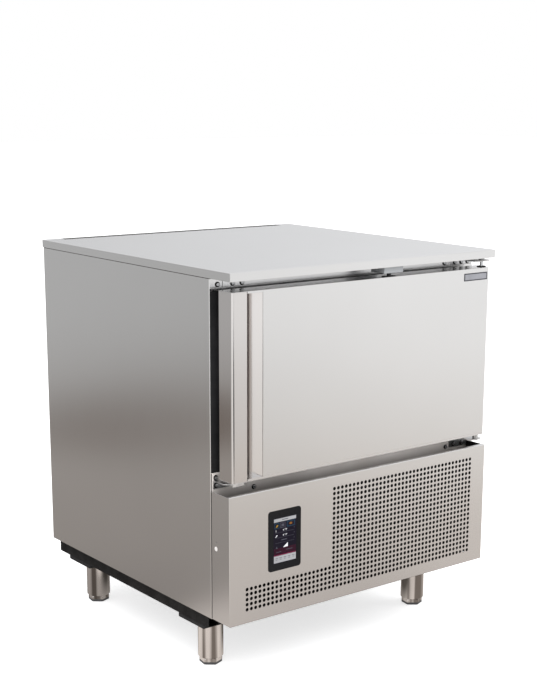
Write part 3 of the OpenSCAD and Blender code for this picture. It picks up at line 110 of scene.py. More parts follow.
@dataclass
class Shell:
    """A mesh in the making.

    Attributes:
        points: its points in millimetres.
        faces: rows of point numbers.
        inks: one ink number for each face.
    """

    points: np.ndarray
    faces: list[tuple[int, ...]]
    inks: list[int]

    def __add__(self, other: "Shell") -> "Shell":
        """Both shells as one mesh.

        Args:
            other: the shell whose points come after this one's.

        Returns:
            The joined shell.
        """
        shift = len(self.points)
        moved = [tuple(i + shift for i in face) for face in other.faces]
        return Shell(
            np.vstack([self.points, other.points]),
            self.faces + moved,
            self.inks + other.inks,
        )

    def moved(self, offset: Sequence[float]) -> "Shell":
        """The shell carried by an offset."""
        return Shell(self.points + np.asarray(offset, float), self.faces, self.inks)

    def mirrored(self) -> "Shell":
        """The shell seen in a mirror that stands at x = 0."""
        return Shell(self.points * np.array([-1.0, 1.0, 1.0]), self.faces, self.inks)

    def mesh(self, name: str) -> bpy.types.Mesh:
        """Merged mesh in metres with its faces pointing outwards.

        Args:
            name: the mesh's name.

        Returns:
            The new mesh, smooth shaded, with edges over 30 degrees marked sharp.
        """
        mesh = bpy.data.meshes.new(name)
        mesh.from_pydata((self.points * MM).tolist(), [], self.faces)
        mesh.polygons.foreach_set("material_index", np.array(self.inks, np.int32))
        tidy_mesh(mesh, 30.0)
        return mesh


def tidy_mesh(mesh: bpy.types.Mesh, sharp_deg: float, flatten: bool = False) -> None:
    """Merges doubles, turns faces outwards and shades the mesh smooth between its sharp edges.

    Args:
        mesh: the mesh to change.
        sharp_deg: edges that turn further than this stay sharp.
        flatten: joins the triangles of each flat face first.
    """
    work = bmesh.new()
    work.from_mesh(mesh)
    bmesh.ops.remove_doubles(work, verts=work.verts, dist=8e-6)
    if flatten:
        bmesh.ops.dissolve_limit(
            work,
            angle_limit=math.radians(0.6),
            verts=work.verts,
            edges=work.edges,
            use_dissolve_boundaries=False,
        )
    bmesh.ops.recalc_face_normals(work, faces=work.faces)
    work.to_mesh(mesh)
    work.free()
    mesh.shade_smooth()
    mesh.set_sharp_from_angle(angle=math.radians(sharp_deg))


def join(shells: Sequence[Shell]) -> Shell:
    """All the shells as one mesh.

    Args:
        shells: one shell or more.

    Returns:
        The joined shell.
    """
    total = shells[0]
    for shell in shells[1:]:
        total = total + shell
    return total


def grid(
    points: np.ndarray,
    wrap_u: bool = False,
    wrap_v: bool = False,
    caps: bool = False,
    ink: int = 0,
) -> Shell:
    """Surface over a grid of points, one quad between each four neighbours.

    Args:
        points: the points, by row, column and coordinate.
        wrap_u: joins the last row to the first.
        wrap_v: joins the last column to the first.
        caps: closes the first and the last row with a flat face each.
        ink: number of the finish.

    Returns:
        The surface.
    """
    rows, columns = points.shape[:2]
    i, j = np.meshgrid(
        np.arange(rows if wrap_u else rows - 1),
        np.arange(columns if wrap_v else columns - 1),
        indexing="ij",
    )
    i_next, j_next = (i + 1) % rows, (j + 1) % columns
    quads = np.stack(
        [
            i * columns + j,
            i * columns + j_next,
            i_next * columns + j_next,
            i_next * columns + j,
        ],
        -1,
    ).reshape(-1, 4)
    faces = [tuple(q) for q in quads.tolist()]
    if caps:
        faces.append(tuple(range(columns - 1, -1, -1)))
        faces.append(tuple(range((rows - 1) * columns, rows * columns)))
    return Shell(points.reshape(-1, 3), faces, [ink] * len(faces))


def revolve(
    profile: Loop, centre: Sequence[float], axis: Axis = Axis.Z, sides: int = 64
) -> Shell:
    """Profile of (radius, height) rows turned about an axis.

    Each point runs round on the cosine and sine of the turn.

    Args:
        profile: rows of radius and height, closed at both ends by a flat face.
        centre: the point where height is 0.
        axis: the axis that heights are along.
        sides: number of steps in the full turn.

    Returns:
        The closed surface.
    """
    turn = np.linspace(0, 2 * np.pi, sides, endpoint=False)
    ring = np.stack([np.cos(turn), np.sin(turn)], -1)
    flat = profile[:, None, 0, None] * ring[None]
    points = axis.place(flat, profile[:, 1, None])
    return grid(points, wrap_v=True, caps=True).moved(centre)


def prism(
    outline: Loop, axis: Axis, low: float, high: float, caps: bool = True, ink: int = 0
) -> Shell:
    """Outline carried straight along an axis between two heights.

    Args:
        outline: the closed outline, across the axis.
        axis: the axis that it is carried along.
        low: height of one end.
        high: height of the other end.
        caps: closes both ends with a flat face.
        ink: number of the finish.

    Returns:
        The surface.
    """
    heights = np.array([[low], [high]])
    points = axis.place(np.stack([outline, outline]), heights)
    return grid(points, wrap_v=True, caps=caps, ink=ink)


def unit(vectors: np.ndarray) -> np.ndarray:
    """The vectors at length 1."""
    return vectors / np.linalg.norm(vectors, axis=-1, keepdims=True)


def fillet(
    corners: Sequence[Sequence[float]], radii: Sequence[float], steps: int = 6
) -> Loop:
    """Closed outline with its corners turned on arcs.

    Each arc's centre lies on its corner's bisector, the radius over the sine of the half angle
    away, and its points run at even angles from one tangent point to the other.

    Args:
        corners: the outline's corners in order.
        radii: one radius for each corner, 0 for a sharp one.
        steps: steps in each arc.

    Returns:
        The outline's points.
    """
    places = np.asarray(corners, float)
    parts = []
    for k, radius in enumerate(radii):
        here = places[k]
        if radius <= 0:
            parts.append(here[None])
            continue
        back = unit(places[k - 1] - here)
        on = unit(places[(k + 1) % len(places)] - here)
        half = 0.5 * math.acos(float(np.clip(back @ on, -1, 1)))
        centre = here + unit(back + on) * radius / math.sin(half)
        start = here + back * radius / math.tan(half) - centre
        end = here + on * radius / math.tan(half) - centre
        first = math.atan2(start[1], start[0])
        sweep = (math.atan2(end[1], end[0]) - first + math.pi) % (2 * math.pi) - math.pi
        angle = first + sweep * np.linspace(0, 1, steps + 1)
        parts.append(centre + radius * np.stack([np.cos(angle), np.sin(angle)], -1))
    return np.concatenate(parts)


def bent_sheet(path: Sequence[Sequence[float]], thick: float, bend: float) -> Loop:
    """Outline of a folded sheet whose outer face follows a path, the sheet to the path's left.

    The inner face runs back at the sheet's thickness: an inner corner is the outer one plus the sum
    of the two normals, times the thickness over one plus their product. Outer bends are wider than
    inner ones by the thickness.

    Args:
        path: corners of the outer face.
        thick: thickness of the sheet.
        bend: radius inside each fold.

    Returns:
        The closed outline.
    """
    outer = np.asarray(path, float)
    heading = unit(np.diff(outer, axis=0))
    left = np.stack([-heading[:, 1], heading[:, 0]], -1)
    before, after = np.vstack([left[:1], left]), np.vstack([left, left[-1:]])
    share = thick / (1 + np.sum(before * after, -1, keepdims=True))
    inner = outer + (before + after) * share
    folds = len(outer) - 2
    corners = np.vstack([outer, inner[::-1]])
    radii = [0.0] + [bend + thick] * folds + [0.0, 0.0] + [bend] * folds + [0.0]
    return fillet(corners, radii)


def rounded_rect(
    low: Sequence[float], high: Sequence[float], radius: float, steps: int = 6
) -> Loop:
    """Rectangle between two corners, its own corners turned on arcs."""
    corners = [(low[0], low[1]), (high[0], low[1]), (high[0], high[1]), (low[0], high[1])]
    return fillet(corners, [max(radius, 0.01)] * 4, steps)


def loft(loops: Sequence[tuple[Loop, float]], axis: Axis, ink: int = 0) -> Shell:
    """Skin over loops of as many points each, every one at its height, closed at both ends."""
    points = np.stack([axis.place(loop, height) for loop, height in loops])
    return grid(points, wrap_v=True, caps=True, ink=ink)


def ring_of_rects(
    section: Sequence[Sequence[float]],
    low: Sequence[float],
    high: Sequence[float],
    axis: Axis,
    radius: float,
    closed: bool,
) -> Shell:
    """Section of (inset, height) points carried round a rectangle, mitred at its corners.

    Args:
        section: the section's points, each inset counted inwards from the rectangle.
        low: the rectangle's lowest corner.
        high: its highest corner.
        axis: the axis square to the rectangle.
        radius: radius of the rectangle's corners at inset 0.
        closed: joins the section's last point to its first.

    Returns:
        The ring's surface.
    """
    low, high = np.asarray(low, float), np.asarray(high, float)
    loops = [
        axis.place(rounded_rect(low + inset, high - inset, radius - inset, 4), height)
        for inset, height in section
    ]
    return grid(np.stack(loops), wrap_u=closed, wrap_v=True)


def quarter_round(radius: float, steps: int = 5) -> np.ndarray:
    """(inset, drop) points of a rounded edge, from the flat face to the side."""
    angle = np.linspace(0, np.pi / 2, steps + 1)
    return np.stack([radius * (1 - np.sin(angle)), radius * (1 - np.cos(angle))], -1)


def contains(loop: Loop, points: np.ndarray) -> np.ndarray:
    """Whether each point lies in a loop.

    A line to the right of a point inside crosses the loop an odd number of times.

    Args:
        loop: the closed loop.
        points: the points to test.

    Returns:
        True for each point inside.
    """
    ends = np.roll(loop, -1, axis=0)
    x, y = points[:, None, 0], points[:, None, 1]
    spans = (loop[None, :, 1] > y) != (ends[None, :, 1] > y)
    rise = np.where(ends[:, 1] == loop[:, 1], 1.0, ends[:, 1] - loop[:, 1])
    at = loop[:, 0] + (y - loop[:, 1]) * (ends[:, 0] - loop[:, 0]) / rise
    return np.sum(spans & (x < at), axis=1) % 2 == 1


def flat_fill(
    axis: Axis, height: float, outer: Loop, holes: Sequence[Loop] = ()
) -> Shell:
    """Flat face between an outline and its holes, as a triangulation held to both.

    Args:
        axis: the axis square to the face.
        height: the face's place along it.
        outer: the outline.
        holes: the outlines of its holes.

    Returns:
        The face's triangles.
    """
    loops = [outer, *holes]
    edges, shift = [], 0
    for loop in loops:
        numbers = np.arange(len(loop))
        edges += np.stack(
            [numbers + shift, (numbers + 1) % len(loop) + shift], -1
        ).tolist()
        shift += len(loop)
    verts = [Vector(p) for p in np.concatenate(loops).tolist()]
    result = geometry.delaunay_2d_cdt(verts, edges, [], 1, 1e-5)
    flat = np.array([list(v) for v in result[0]])
    faces = np.array([list(f) for f in result[2]])
    middles = flat[faces].mean(axis=1)
    if holes:
        faces = faces[~np.any([contains(hole, middles) for hole in holes], axis=0)]
    return Shell(
        axis.place(flat, height), [tuple(f) for f in faces.tolist()], [0] * len(faces)
    )


def tube(path: np.ndarray, radius: float, closed: bool = False, sides: int = 10) -> Shell:
    """Round wire along a path: at each point a circle square to the path's direction.

    Args:
        path: the wire's centre line.
        radius: the wire's radius.
        closed: joins the last point to the first.
        sides: points in each circle.

    Returns:
        The wire's surface.
    """
    if closed:
        heading = unit(np.roll(path, -1, 0) - np.roll(path, 1, 0))
    else:
        heading = unit(np.gradient(path, axis=0))
    up = np.array([0.0, 1.0, 0.0])
    side = unit(np.cross(heading, up))
    over = np.cross(side, heading)
    turn = np.linspace(0, 2 * np.pi, sides, endpoint=False)[None, :, None]
    ring = np.cos(turn) * side[:, None] + np.sin(turn) * over[:, None]
    points = path[:, None] + radius * ring
    return grid(points, wrap_u=closed, wrap_v=True, caps=not closed)


# ---------------------------------------------------------------- nodes


def noise(tree: Tree, place: Socket, repeats: Sequence[float], detail: float) -> Socket:
    """Noise stretched by its repeats per metre along each direction.

    Args:
        tree: the node tree.
        place: the place that the noise is read at.
        repeats: repeats per metre along X, Y and Z.
        detail: number of finer layers.

    Returns:
        The socket of the noise's strength.
    """
    mapping = tree.nodes.new("ShaderNodeMapping")
    mapping.inputs["Scale"].default_value = repeats
    tree.links.new(place, mapping.inputs["Vector"])
    node = tree.nodes.new("ShaderNodeTexNoise")
    node.inputs["Scale"].default_value = 1.0
    node.inputs["Detail"].default_value = detail
    tree.links.new(mapping.outputs["Vector"], node.inputs["Vector"])
    return node.outputs["Fac"]


def spread(
    tree: Tree,
    value: Socket,
    low: float = 0.0,
    high: float = 1.0,
    ends: tuple[float, float] = (0.35, 0.65),
    eased: bool = False,
) -> Socket:
    """Value spread over a range and held at its ends.

    Args:
        tree: the node tree.
        value: the value.
        low: what the lower end gives.
        high: what the upper end gives.
        ends: the values taken as ends, by default the usual ones of a noise.
        eased: starts and stops softly instead of running straight.

    Returns:
        The socket of the result.
    """
    node = tree.nodes.new("ShaderNodeMapRange")
    node.interpolation_type = "SMOOTHSTEP" if eased else "LINEAR"
    node.inputs["From Min"].default_value, node.inputs["From Max"].default_value = ends
    node.inputs["To Min"].default_value = low
    node.inputs["To Max"].default_value = high
    tree.links.new(value, node.inputs["Value"])
    return node.outputs["Result"]


def blend(tree: Tree, share: Socket, none: Socket | Colour, full: Socket | Colour) -> Socket:
    """Colour that goes from one to another.

    Args:
        tree: the node tree.
        share: 0 for the first colour, 1 for the second.
        none: the first colour, or the socket that gives it.
        full: the second colour, or its socket.

    Returns:
        The socket of the result.
    """
    node = tree.nodes.new("ShaderNodeMix")
    node.data_type = "RGBA"
    tree.links.new(share, node.inputs["Factor"])
    for name, colour in (("A", none), ("B", full)):
        if isinstance(colour, Socket):
            tree.links.new(colour, node.inputs[name])
        else:
            node.inputs[name].default_value = (*colour, 1.0)
    return node.outputs["Result"]


def vector_math(
    tree: Tree,
    operation: str,
    one: Socket,
    other: Socket | Colour | None = None,
    output: str = "Vector",
) -> Socket:
    """One step of vector maths.

    Args:
        tree: the node tree.
        operation: the step, by Blender's name.
        one: the first vector.
        other: the second vector, as a socket or as three numbers.
        output: "Vector", or "Value" where the step gives a number.

    Returns:
        The socket of the result.
    """
    node = tree.nodes.new("ShaderNodeVectorMath")
    node.operation = operation
    tree.links.new(one, node.inputs[0])
    if isinstance(other, Socket):
        tree.links.new(other, node.inputs[1])
    elif other:
        node.inputs[1].default_value = other
    return node.outputs[output]


def ramp(tree: Tree, value: Socket, stops: Sequence[tuple[float, Colour]]) -> Socket:
    """Colour ramp over a value.

    Args:
        tree: the node tree.
        value: the value, from 0 to 1.
        stops: places and their colours, in rising order.

    Returns:
        The socket of the colour.
    """
    node = tree.nodes.new("ShaderNodeValToRGB")
    elements = node.color_ramp.elements
    elements[0].position, elements[-1].position = stops[0][0], stops[-1][0]
    elements[0].color, elements[-1].color = (*stops[0][1], 1.0), (*stops[-1][1], 1.0)
    for place, colour in stops[1:-1]:
        elements.new(place).color = (*colour, 1.0)
    tree.links.new(value, node.inputs["Fac"])
    return node.outputs["Color"]


# ---------------------------------------------------------------- finishes


class Grain(Enum):
    """Way that a surface's fine pattern runs: its repeats per metre along X, Y and Z."""

    ALONG_X = (9.0, 1300.0, 1300.0)
    ALONG_Z = (1300.0, 1300.0, 9.0)
    EVEN = (900.0, 900.0, 900.0)
    COARSE = (260.0, 260.0, 260.0)


@dataclass(frozen=True)
class Finish:
    """A surface with a fine grain and slow mottling, both read from Object coordinates.

    Attributes:
        name: the material's name.
        colour: its main colour.
        shade: the colour that the mottling drifts to.
        roughness: lowest and highest roughness in the grain.
        metallic: 1 for bare metal.
        grain: the way its fine pattern runs.
        relief: height of the grain in millimetres.
        mottle: patches per metre.
        glow: strength of its own light, for lit inks.
        gloss: strength of the plain reflection, 0.5 for the one that belongs to the index.
    """

    name: str
    colour: Colour
    shade: Colour
    roughness: tuple[float, float] = (0.3, 0.4)
    metallic: float = 0.0
    grain: Grain = Grain.EVEN
    relief: float = 0.01
    mottle: float = 5.0
    glow: float = 0.0
    gloss: float = 0.5

    def material(self) -> bpy.types.Material:
        """The Blender material of this finish, made once.

        Returns:
            The material, named after the finish.
        """
        label = self.name + "_finish"
        known = bpy.data.materials.get(label)
        if known:
            return known
        material = bpy.data.materials.new(label)
        material.use_nodes = True
        material.diffuse_color = (*self.colour, 1.0)
        tree = material.node_tree
        shader = tree.nodes["Principled BSDF"]
        shader.inputs["Metallic"].default_value = self.metallic
        shader.inputs["IOR"].default_value = 1.45
        shader.inputs["Specular IOR Level"].default_value = self.gloss
        place = tree.nodes.new("ShaderNodeTexCoord").outputs["Object"]
        fine = noise(tree, place, self.grain.value, 3.0)
        slow = noise(tree, place, (self.mottle,) * 3, 2.0)
        tint = blend(tree, spread(tree, slow), self.colour, self.shade)
        colour = self.tinted(tree, tint, place)
        tree.links.new(colour, shader.inputs["Base Color"])
        if self.glow:
            tree.links.new(colour, shader.inputs["Emission Color"])
            shader.inputs["Emission Strength"].default_value = self.glow
        rough = tree.nodes.new("ShaderNodeMath")
        rough.operation = "MULTIPLY_ADD"
        tree.links.new(slow, rough.inputs[0])
        rough.inputs[1].default_value = 0.03
        tree.links.new(spread(tree, fine, *self.roughness), rough.inputs[2])
        tree.links.new(rough.outputs[0], shader.inputs["Roughness"])
        bump = tree.nodes.new("ShaderNodeBump")
        bump.inputs["Strength"].default_value = 0.6
        bump.inputs["Distance"].default_value = self.relief * MM
        tree.links.new(self.height(tree, fine, place), bump.inputs["Height"])
        tree.links.new(bump.outputs["Normal"], shader.inputs["Normal"])
        return material

    def tinted(self, tree: Tree, colour: Socket, place: Socket) -> Socket:
        """The colour that reaches the shader; a finish with more detail works on it first."""
        return colour

    def height(self, tree: Tree, fine: Socket, place: Socket) -> Socket:
        """The height that reaches the bump; a finish with another relief gives its own."""
        return fine


@dataclass(frozen=True)
class Steel(Finish):
    """Stainless sheet with a fine straight brushing."""

    metallic: float = 1.0
    roughness: tuple[float, float] = (0.20, 0.235)
    relief: float = 0.0008
    mottle: float = 2.6


@dataclass(frozen=True)
class Foam(Finish):
    """Rigid foam, whose relief is round cells from a Voronoi pattern.

    Attributes:
        cells: cells per metre.
    """

    cells: float = 700.0

    def height(self, tree: Tree, fine: Socket, place: Socket) -> Socket:
        """Height of the cells: the distance to the nearest cell's middle.

        Args:
            tree: the node tree.
            fine: the grain's noise, not used here.
            place: the place that the pattern is read at.

        Returns:
            The socket of the height.
        """
        cells = tree.nodes.new("ShaderNodeTexVoronoi")
        cells.inputs["Scale"].default_value = self.cells
        tree.links.new(place, cells.inputs["Vector"])
        return cells.outputs["Distance"]


@dataclass(frozen=True)
class Worn(Finish):
    """Paint or plastic with dust and rub marks: a second noise lightens it in patches.

    Attributes:
        dust: colour of the dust.
        share: the most of it that is mixed in.
        patches: patches per metre.
    """

    dust: Colour = (0.25, 0.24, 0.23)
    share: float = 0.12
    patches: float = 30.0

    def tinted(self, tree: Tree, colour: Socket, place: Socket) -> Socket:
        """The colour with dust mixed in where the patches' noise is high."""
        high = noise(tree, place, (self.patches,) * 3, 4.0)
        return blend(tree, spread(tree, high, 0.0, self.share), colour, self.dust)


@dataclass(frozen=True)
class Streaked(Steel):
    """Steel tube with upright dark bands of painted reflection, standing in for the stripes that a
    round leg mirrors.

    Attributes:
        reflection_band: colour of the bands, a painted reflection.
        bands: their repeats per metre along X, Y and Z.
        reach: share of the bands' colour where their noise is low and where it is high, held
            between 0 and 1.
    """

    reflection_band: Colour = (0.26, 0.235, 0.215)
    bands: tuple[float, float, float] = (62.0, 62.0, 1.2)
    reach: tuple[float, float] = (-0.5, 1.2)

    def tinted(self, tree: Tree, colour: Socket, place: Socket) -> Socket:
        """The colour, mixed into the painted reflection's where a noise stretched upright is high.
        """
        high = noise(tree, place, self.bands, 1.0)
        return blend(tree, spread(tree, high, *self.reach), colour, self.reflection_band)


@dataclass(frozen=True)
class ShadedDownwards(Steel):
    """Steel with painted shade: it darkens downwards between two heights in metres, as shade
    deepens in a slot.

    Attributes:
        ends: the two heights.
        painted_shade: its colour at the lower one and below, a painted shade.
    """

    ends: tuple[float, float] = (0.431, 0.455)
    painted_shade: Colour = (0.20, 0.18, 0.165)

    def tinted(self, tree: Tree, colour: Socket, place: Socket) -> Socket:
        """The colour, mixed into the painted shade below the upper height.

        Args:
            tree: the node tree.
            colour: the mottled colour.
            place: the place that the height is read from.

        Returns:
            The socket of the colour.
        """
        split = tree.nodes.new("ShaderNodeSeparateXYZ")
        tree.links.new(place, split.inputs[0])
        return blend(tree, spread(tree, split.outputs["Z"], ends=self.ends), self.painted_shade, colour)


SHEET_TONES = ((0.77, 0.765, 0.76), (0.755, 0.75, 0.745))
TOP_STEEL = Steel("brushed_top", *SHEET_TONES, grain=Grain.ALONG_X)
SIDE_STEEL = Steel("brushed_side", *SHEET_TONES, grain=Grain.ALONG_Z)
DOOR_STEEL = Steel("brushed_door", *SHEET_TONES, grain=Grain.ALONG_Z)
PANEL_STEEL = Steel("brushed_panel", *SHEET_TONES, grain=Grain.ALONG_X)
RAIL_STEEL = Steel("brushed_rail", *SHEET_TONES, grain=Grain.ALONG_X)
LINER_STEEL = Steel("brushed_liner", *SHEET_TONES, (0.24, 0.33), grain=Grain.ALONG_Z)
HANDLE_STEEL = Steel(
    "brushed_handle", (0.72, 0.695, 0.682), (0.70, 0.675, 0.662), (0.11, 0.14), grain=Grain.ALONG_Z
)
# Faces inside the handle's groove and the hem's seam strip: rougher, slightly darker steel that
# paints their shade.
GRIP_SHADE = Steel(
    "grip_painted_shade", (0.72, 0.68, 0.65), (0.66, 0.62, 0.59), (0.30, 0.38), grain=Grain.ALONG_Z
)
# Bottom rail: pale, mostly matt steel with painted shade that darkens it towards the slot's depth;
# its mottle stands in partly for blurred reflections.
MATT_RAIL = ShadedDownwards(
    "matt_rail",
    (0.95, 0.90, 0.87),
    (0.80, 0.75, 0.71),
    (0.45, 0.55),
    metallic=0.15,
    grain=Grain.ALONG_X,
    mottle=7.0,
)
# Hinge plates and guard wires: steel whose strong dark mottle is painted reflection, patches of
# blurred surroundings.
FITTING_STEEL = Steel(
    "cut_plate", (0.84, 0.84, 0.84), (0.42, 0.42, 0.42), (0.24, 0.34), grain=Grain.EVEN, mottle=28.0
)
SCREW_STEEL = Steel(
    "screw_metal",
    (0.66, 0.665, 0.67),
    (0.58, 0.585, 0.59),
    (0.18, 0.30),
    grain=Grain.EVEN,
    mottle=80.0,
)
# Dark ring round the screw heads: painted shade of their steep rims.
SCREW_SHADE = Steel(
    "screw_rim_painted_shade", (0.035, 0.035, 0.035), (0.02, 0.02, 0.02), (0.30, 0.42), mottle=80.0
)
# Legs: steel with upright bands of painted reflection.
LEG_STEEL = Streaked(
    "turned_legs",
    (1.0, 0.97, 0.95),
    (0.92, 0.89, 0.87),
    (0.10, 0.15),
    grain=Grain.ALONG_Z,
    mottle=9.0,
)
ZINC = Steel(
    "zinc_sheet",
    (0.60, 0.61, 0.62),
    (0.50, 0.51, 0.53),
    (0.36, 0.52),
    grain=Grain.COARSE,
    mottle=22.0,
)
FINS = Steel(
    "fin_stock",
    (0.78, 0.79, 0.80),
    (0.70, 0.71, 0.73),
    (0.30, 0.45),
    grain=Grain.ALONG_Z,
    mottle=12.0,
)
COPPER = Steel(
    "copper_tube",
    (0.76, 0.42, 0.28),
    (0.55, 0.28, 0.18),
    (0.22, 0.40),
    grain=Grain.COARSE,
    mottle=18.0,
)
BRASS = Steel(
    "brass_body",
    (0.76, 0.58, 0.27),
    (0.62, 0.46, 0.22),
    (0.24, 0.38),
    grain=Grain.COARSE,
    mottle=25.0,
)
BADGE = Steel(
    "badge_metal",
    (0.47, 0.475, 0.51),
    (0.41, 0.415, 0.45),
    (0.28, 0.38),
    grain=Grain.ALONG_X,
    mottle=40.0,
)
BADGE_RIM = Steel(
    "badge_rim", (0.12, 0.125, 0.14), (0.09, 0.09, 0.105), (0.30, 0.40), grain=Grain.ALONG_X
)
BLACK_PAINT = Worn(
    "black_paint",
    (0.006, 0.006, 0.006),
    (0.010, 0.009, 0.009),
    (0.50, 0.66),
    grain=Grain.COARSE,
    relief=0.03,
    gloss=0.18,
    share=0.03,
)
BLACK_PLASTIC = Worn(
    "black_plastic",
    (0.012, 0.012, 0.013),
    (0.017, 0.017, 0.018),
    (0.50, 0.64),
    relief=0.02,
    gloss=0.25,
    share=0.03,
)
FAN_PLASTIC = Worn(
    "fan_plastic", (0.030, 0.031, 0.033), (0.042, 0.043, 0.045), (0.38, 0.52), relief=0.015
)
GASKET = Worn(
    "gasket_rubber",
    (0.010, 0.010, 0.010),
    (0.014, 0.014, 0.014),
    (0.60, 0.75),
    relief=0.015,
    gloss=0.2,
    share=0.03,
)
FOOT_PAD = Worn(
    "foot_pad", (0.045, 0.045, 0.048), (0.06, 0.06, 0.063), (0.40, 0.55), relief=0.02, share=0.1
)
GREY_PAINT = Worn(
    "grey_paint", (0.30, 0.31, 0.32), (0.27, 0.28, 0.29), (0.38, 0.50), relief=0.02, share=0.05
)
WHITE_PLASTIC = Finish("white_plastic", (0.74, 0.71, 0.69), (0.68, 0.65, 0.63), (0.28, 0.38))
GLOSS_BLACK = Finish(
    "gloss_black",
    (0.007, 0.007, 0.008),
    (0.010, 0.010, 0.011),
    (0.22, 0.30),
    relief=0.004,
    gloss=0.1,
)
SCREEN_GLASS = Finish(
    "screen_glass",
    (0.006, 0.005, 0.011),
    (0.010, 0.008, 0.014),
    (0.14, 0.20),
    relief=0.001,
    gloss=0.08,
)
PALE_FLOOR = Finish(
    "pale_floor",
    (0.94, 0.94, 0.94),
    (0.93, 0.93, 0.93),
    (0.6, 0.7),
    relief=0.02,
    glow=0.7,
    gloss=0.1,
)
FOAM = Foam(
    "insulating_foam", (0.80, 0.70, 0.45), (0.74, 0.63, 0.38), (0.75, 0.9), relief=0.25, mottle=14.0
)
CORE_BOARD = Foam(
    "core_board",
    (0.26, 0.25, 0.24),
    (0.21, 0.20, 0.19),
    (0.65, 0.8),
    relief=0.12,
    mottle=40.0,
    cells=420.0,
)


# ---------------------------------------------------------------- pieces


@dataclass
class Piece:
    """One finished piece: its shape, its finish, what it rides on and the CAD nodes it stands for.

    Attributes:
        name: the object's name.
        shell: its shape.
        finishes: its finishes, by ink number.
        nodes: CAD nodes that it stands for; it rides on the body of the first.
        bevel: width of the rounding of its sharp edges, 0 for none.
        near: CAD node that it goes with, where it stands for none.
        weighted: settles the shading of flat faces next to small rounds.
    """

    name: str
    shell: Shell
    finishes: Sequence[Finish]
    nodes: Sequence[str] = ()
    bevel: float = 0.0
    near: str = ""
    weighted: bool = True

    def build(self) -> bpy.types.Object:
        """The object, made, dressed and tied to its CAD body."""
        return finish_piece(
            self.name,
            self.shell.mesh(self.name),
            self.finishes,
            self.near or self.nodes[0],
            self.nodes,
            self.bevel,
            self.weighted,
        )


def finish_piece(
    name: str,
    mesh: bpy.types.Mesh,
    finishes: Sequence[Finish],
    home: str,
    nodes: Sequence[str],
    bevel: float,
    weighted: bool,
) -> bpy.types.Object:
    """Object around a mesh, with its finishes, its modifiers and its ties to the CAD model.

    Args:
        name: the object's name.
        mesh: its mesh, in metres and in place.
        finishes: its finishes, by ink number.
        home: CAD node whose body it takes.
        nodes: CAD nodes that it stands for.
        bevel: width of the rounding of its sharp edges, 0 for none.
        weighted: adds the modifier that settles the shading of flat faces.

    Returns:
        The object.
    """
    thing = bpy.data.objects.new(name, mesh)
    bpy.context.scene.collection.objects.link(thing)
    for look in finishes:
        mesh.materials.append(look.material())
    if bevel > 0:
        rounding = thing.modifiers.new("edges", "BEVEL")
        rounding.width = bevel * MM
        rounding.segments = 2
        rounding.limit_method = "ANGLE"
        rounding.angle_limit = math.radians(38)
        rounding.use_clamp_overlap = False
        rounding.harden_normals = False
    if weighted:
        settle = thing.modifiers.new("shading", "WEIGHTED_NORMAL")
        settle.keep_sharp = True
    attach(thing, frame["nodes"][home]["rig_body"])
    if nodes:
        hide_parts(*nodes)
    LOG.info("%s: %d faces, for %s", name, len(mesh.polygons), ", ".join(nodes) or "-")
    return thing


def ink_inside(mesh: bpy.types.Mesh) -> None:
    """Gives the second ink to the faces that look towards the plane x = 0.

    Args:
        mesh: the mesh to change.
    """
    middles, normals = np.empty((2, len(mesh.polygons) * 3))
    mesh.polygons.foreach_get("center", middles)
    mesh.polygons.foreach_get("normal", normals)
    inwards = middles[::3] * normals[::3] < -0.1
    mesh.polygons.foreach_set("material_index", inwards.astype(np.int32))


def refine(
    node: str,
    look: Finish,
    bevel: float = 0.35,
    flatten: bool = True,
    inside: Finish | None = None,
) -> bpy.types.Object:
    """Merged copy of a CAD node with rounded edges, which stands for it.

    Args:
        node: the CAD node.
        look: its finish.
        bevel: width of its rounded edges.
        flatten: joins the triangles of each flat face, which suits faces without holes.
        inside: finish of the faces that look towards the machine's middle.

    Returns:
        The new piece.
    """
    mesh = frame["nodes"][node].data.copy()
    mesh.name = node + "_dressed"
    mesh.materials.clear()
    tidy_mesh(mesh, 28.0, flatten)
    looks = [look]
    if inside:
        looks.append(inside)
        ink_inside(mesh)
    return finish_piece(node + "_dressed", mesh, looks, node, [node], bevel, True)


def dress(node: str, look: Finish) -> None:
    """Gives a CAD node that stays its node material.

    Args:
        node: the CAD node.
        look: its finish.
    """
    materials = frame["nodes"][node].data.materials
    materials.clear()
    materials.append(look.material())
    LOG.info("%s: carried over", node)


def corners_of(node: str) -> tuple[np.ndarray, np.ndarray]:
    """Lowest and highest corner of a CAD node, in millimetres."""
    low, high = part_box(node)
    return np.array(low) / MM, np.array(high) / MM


# ---------------------------------------------------------------- cabinet


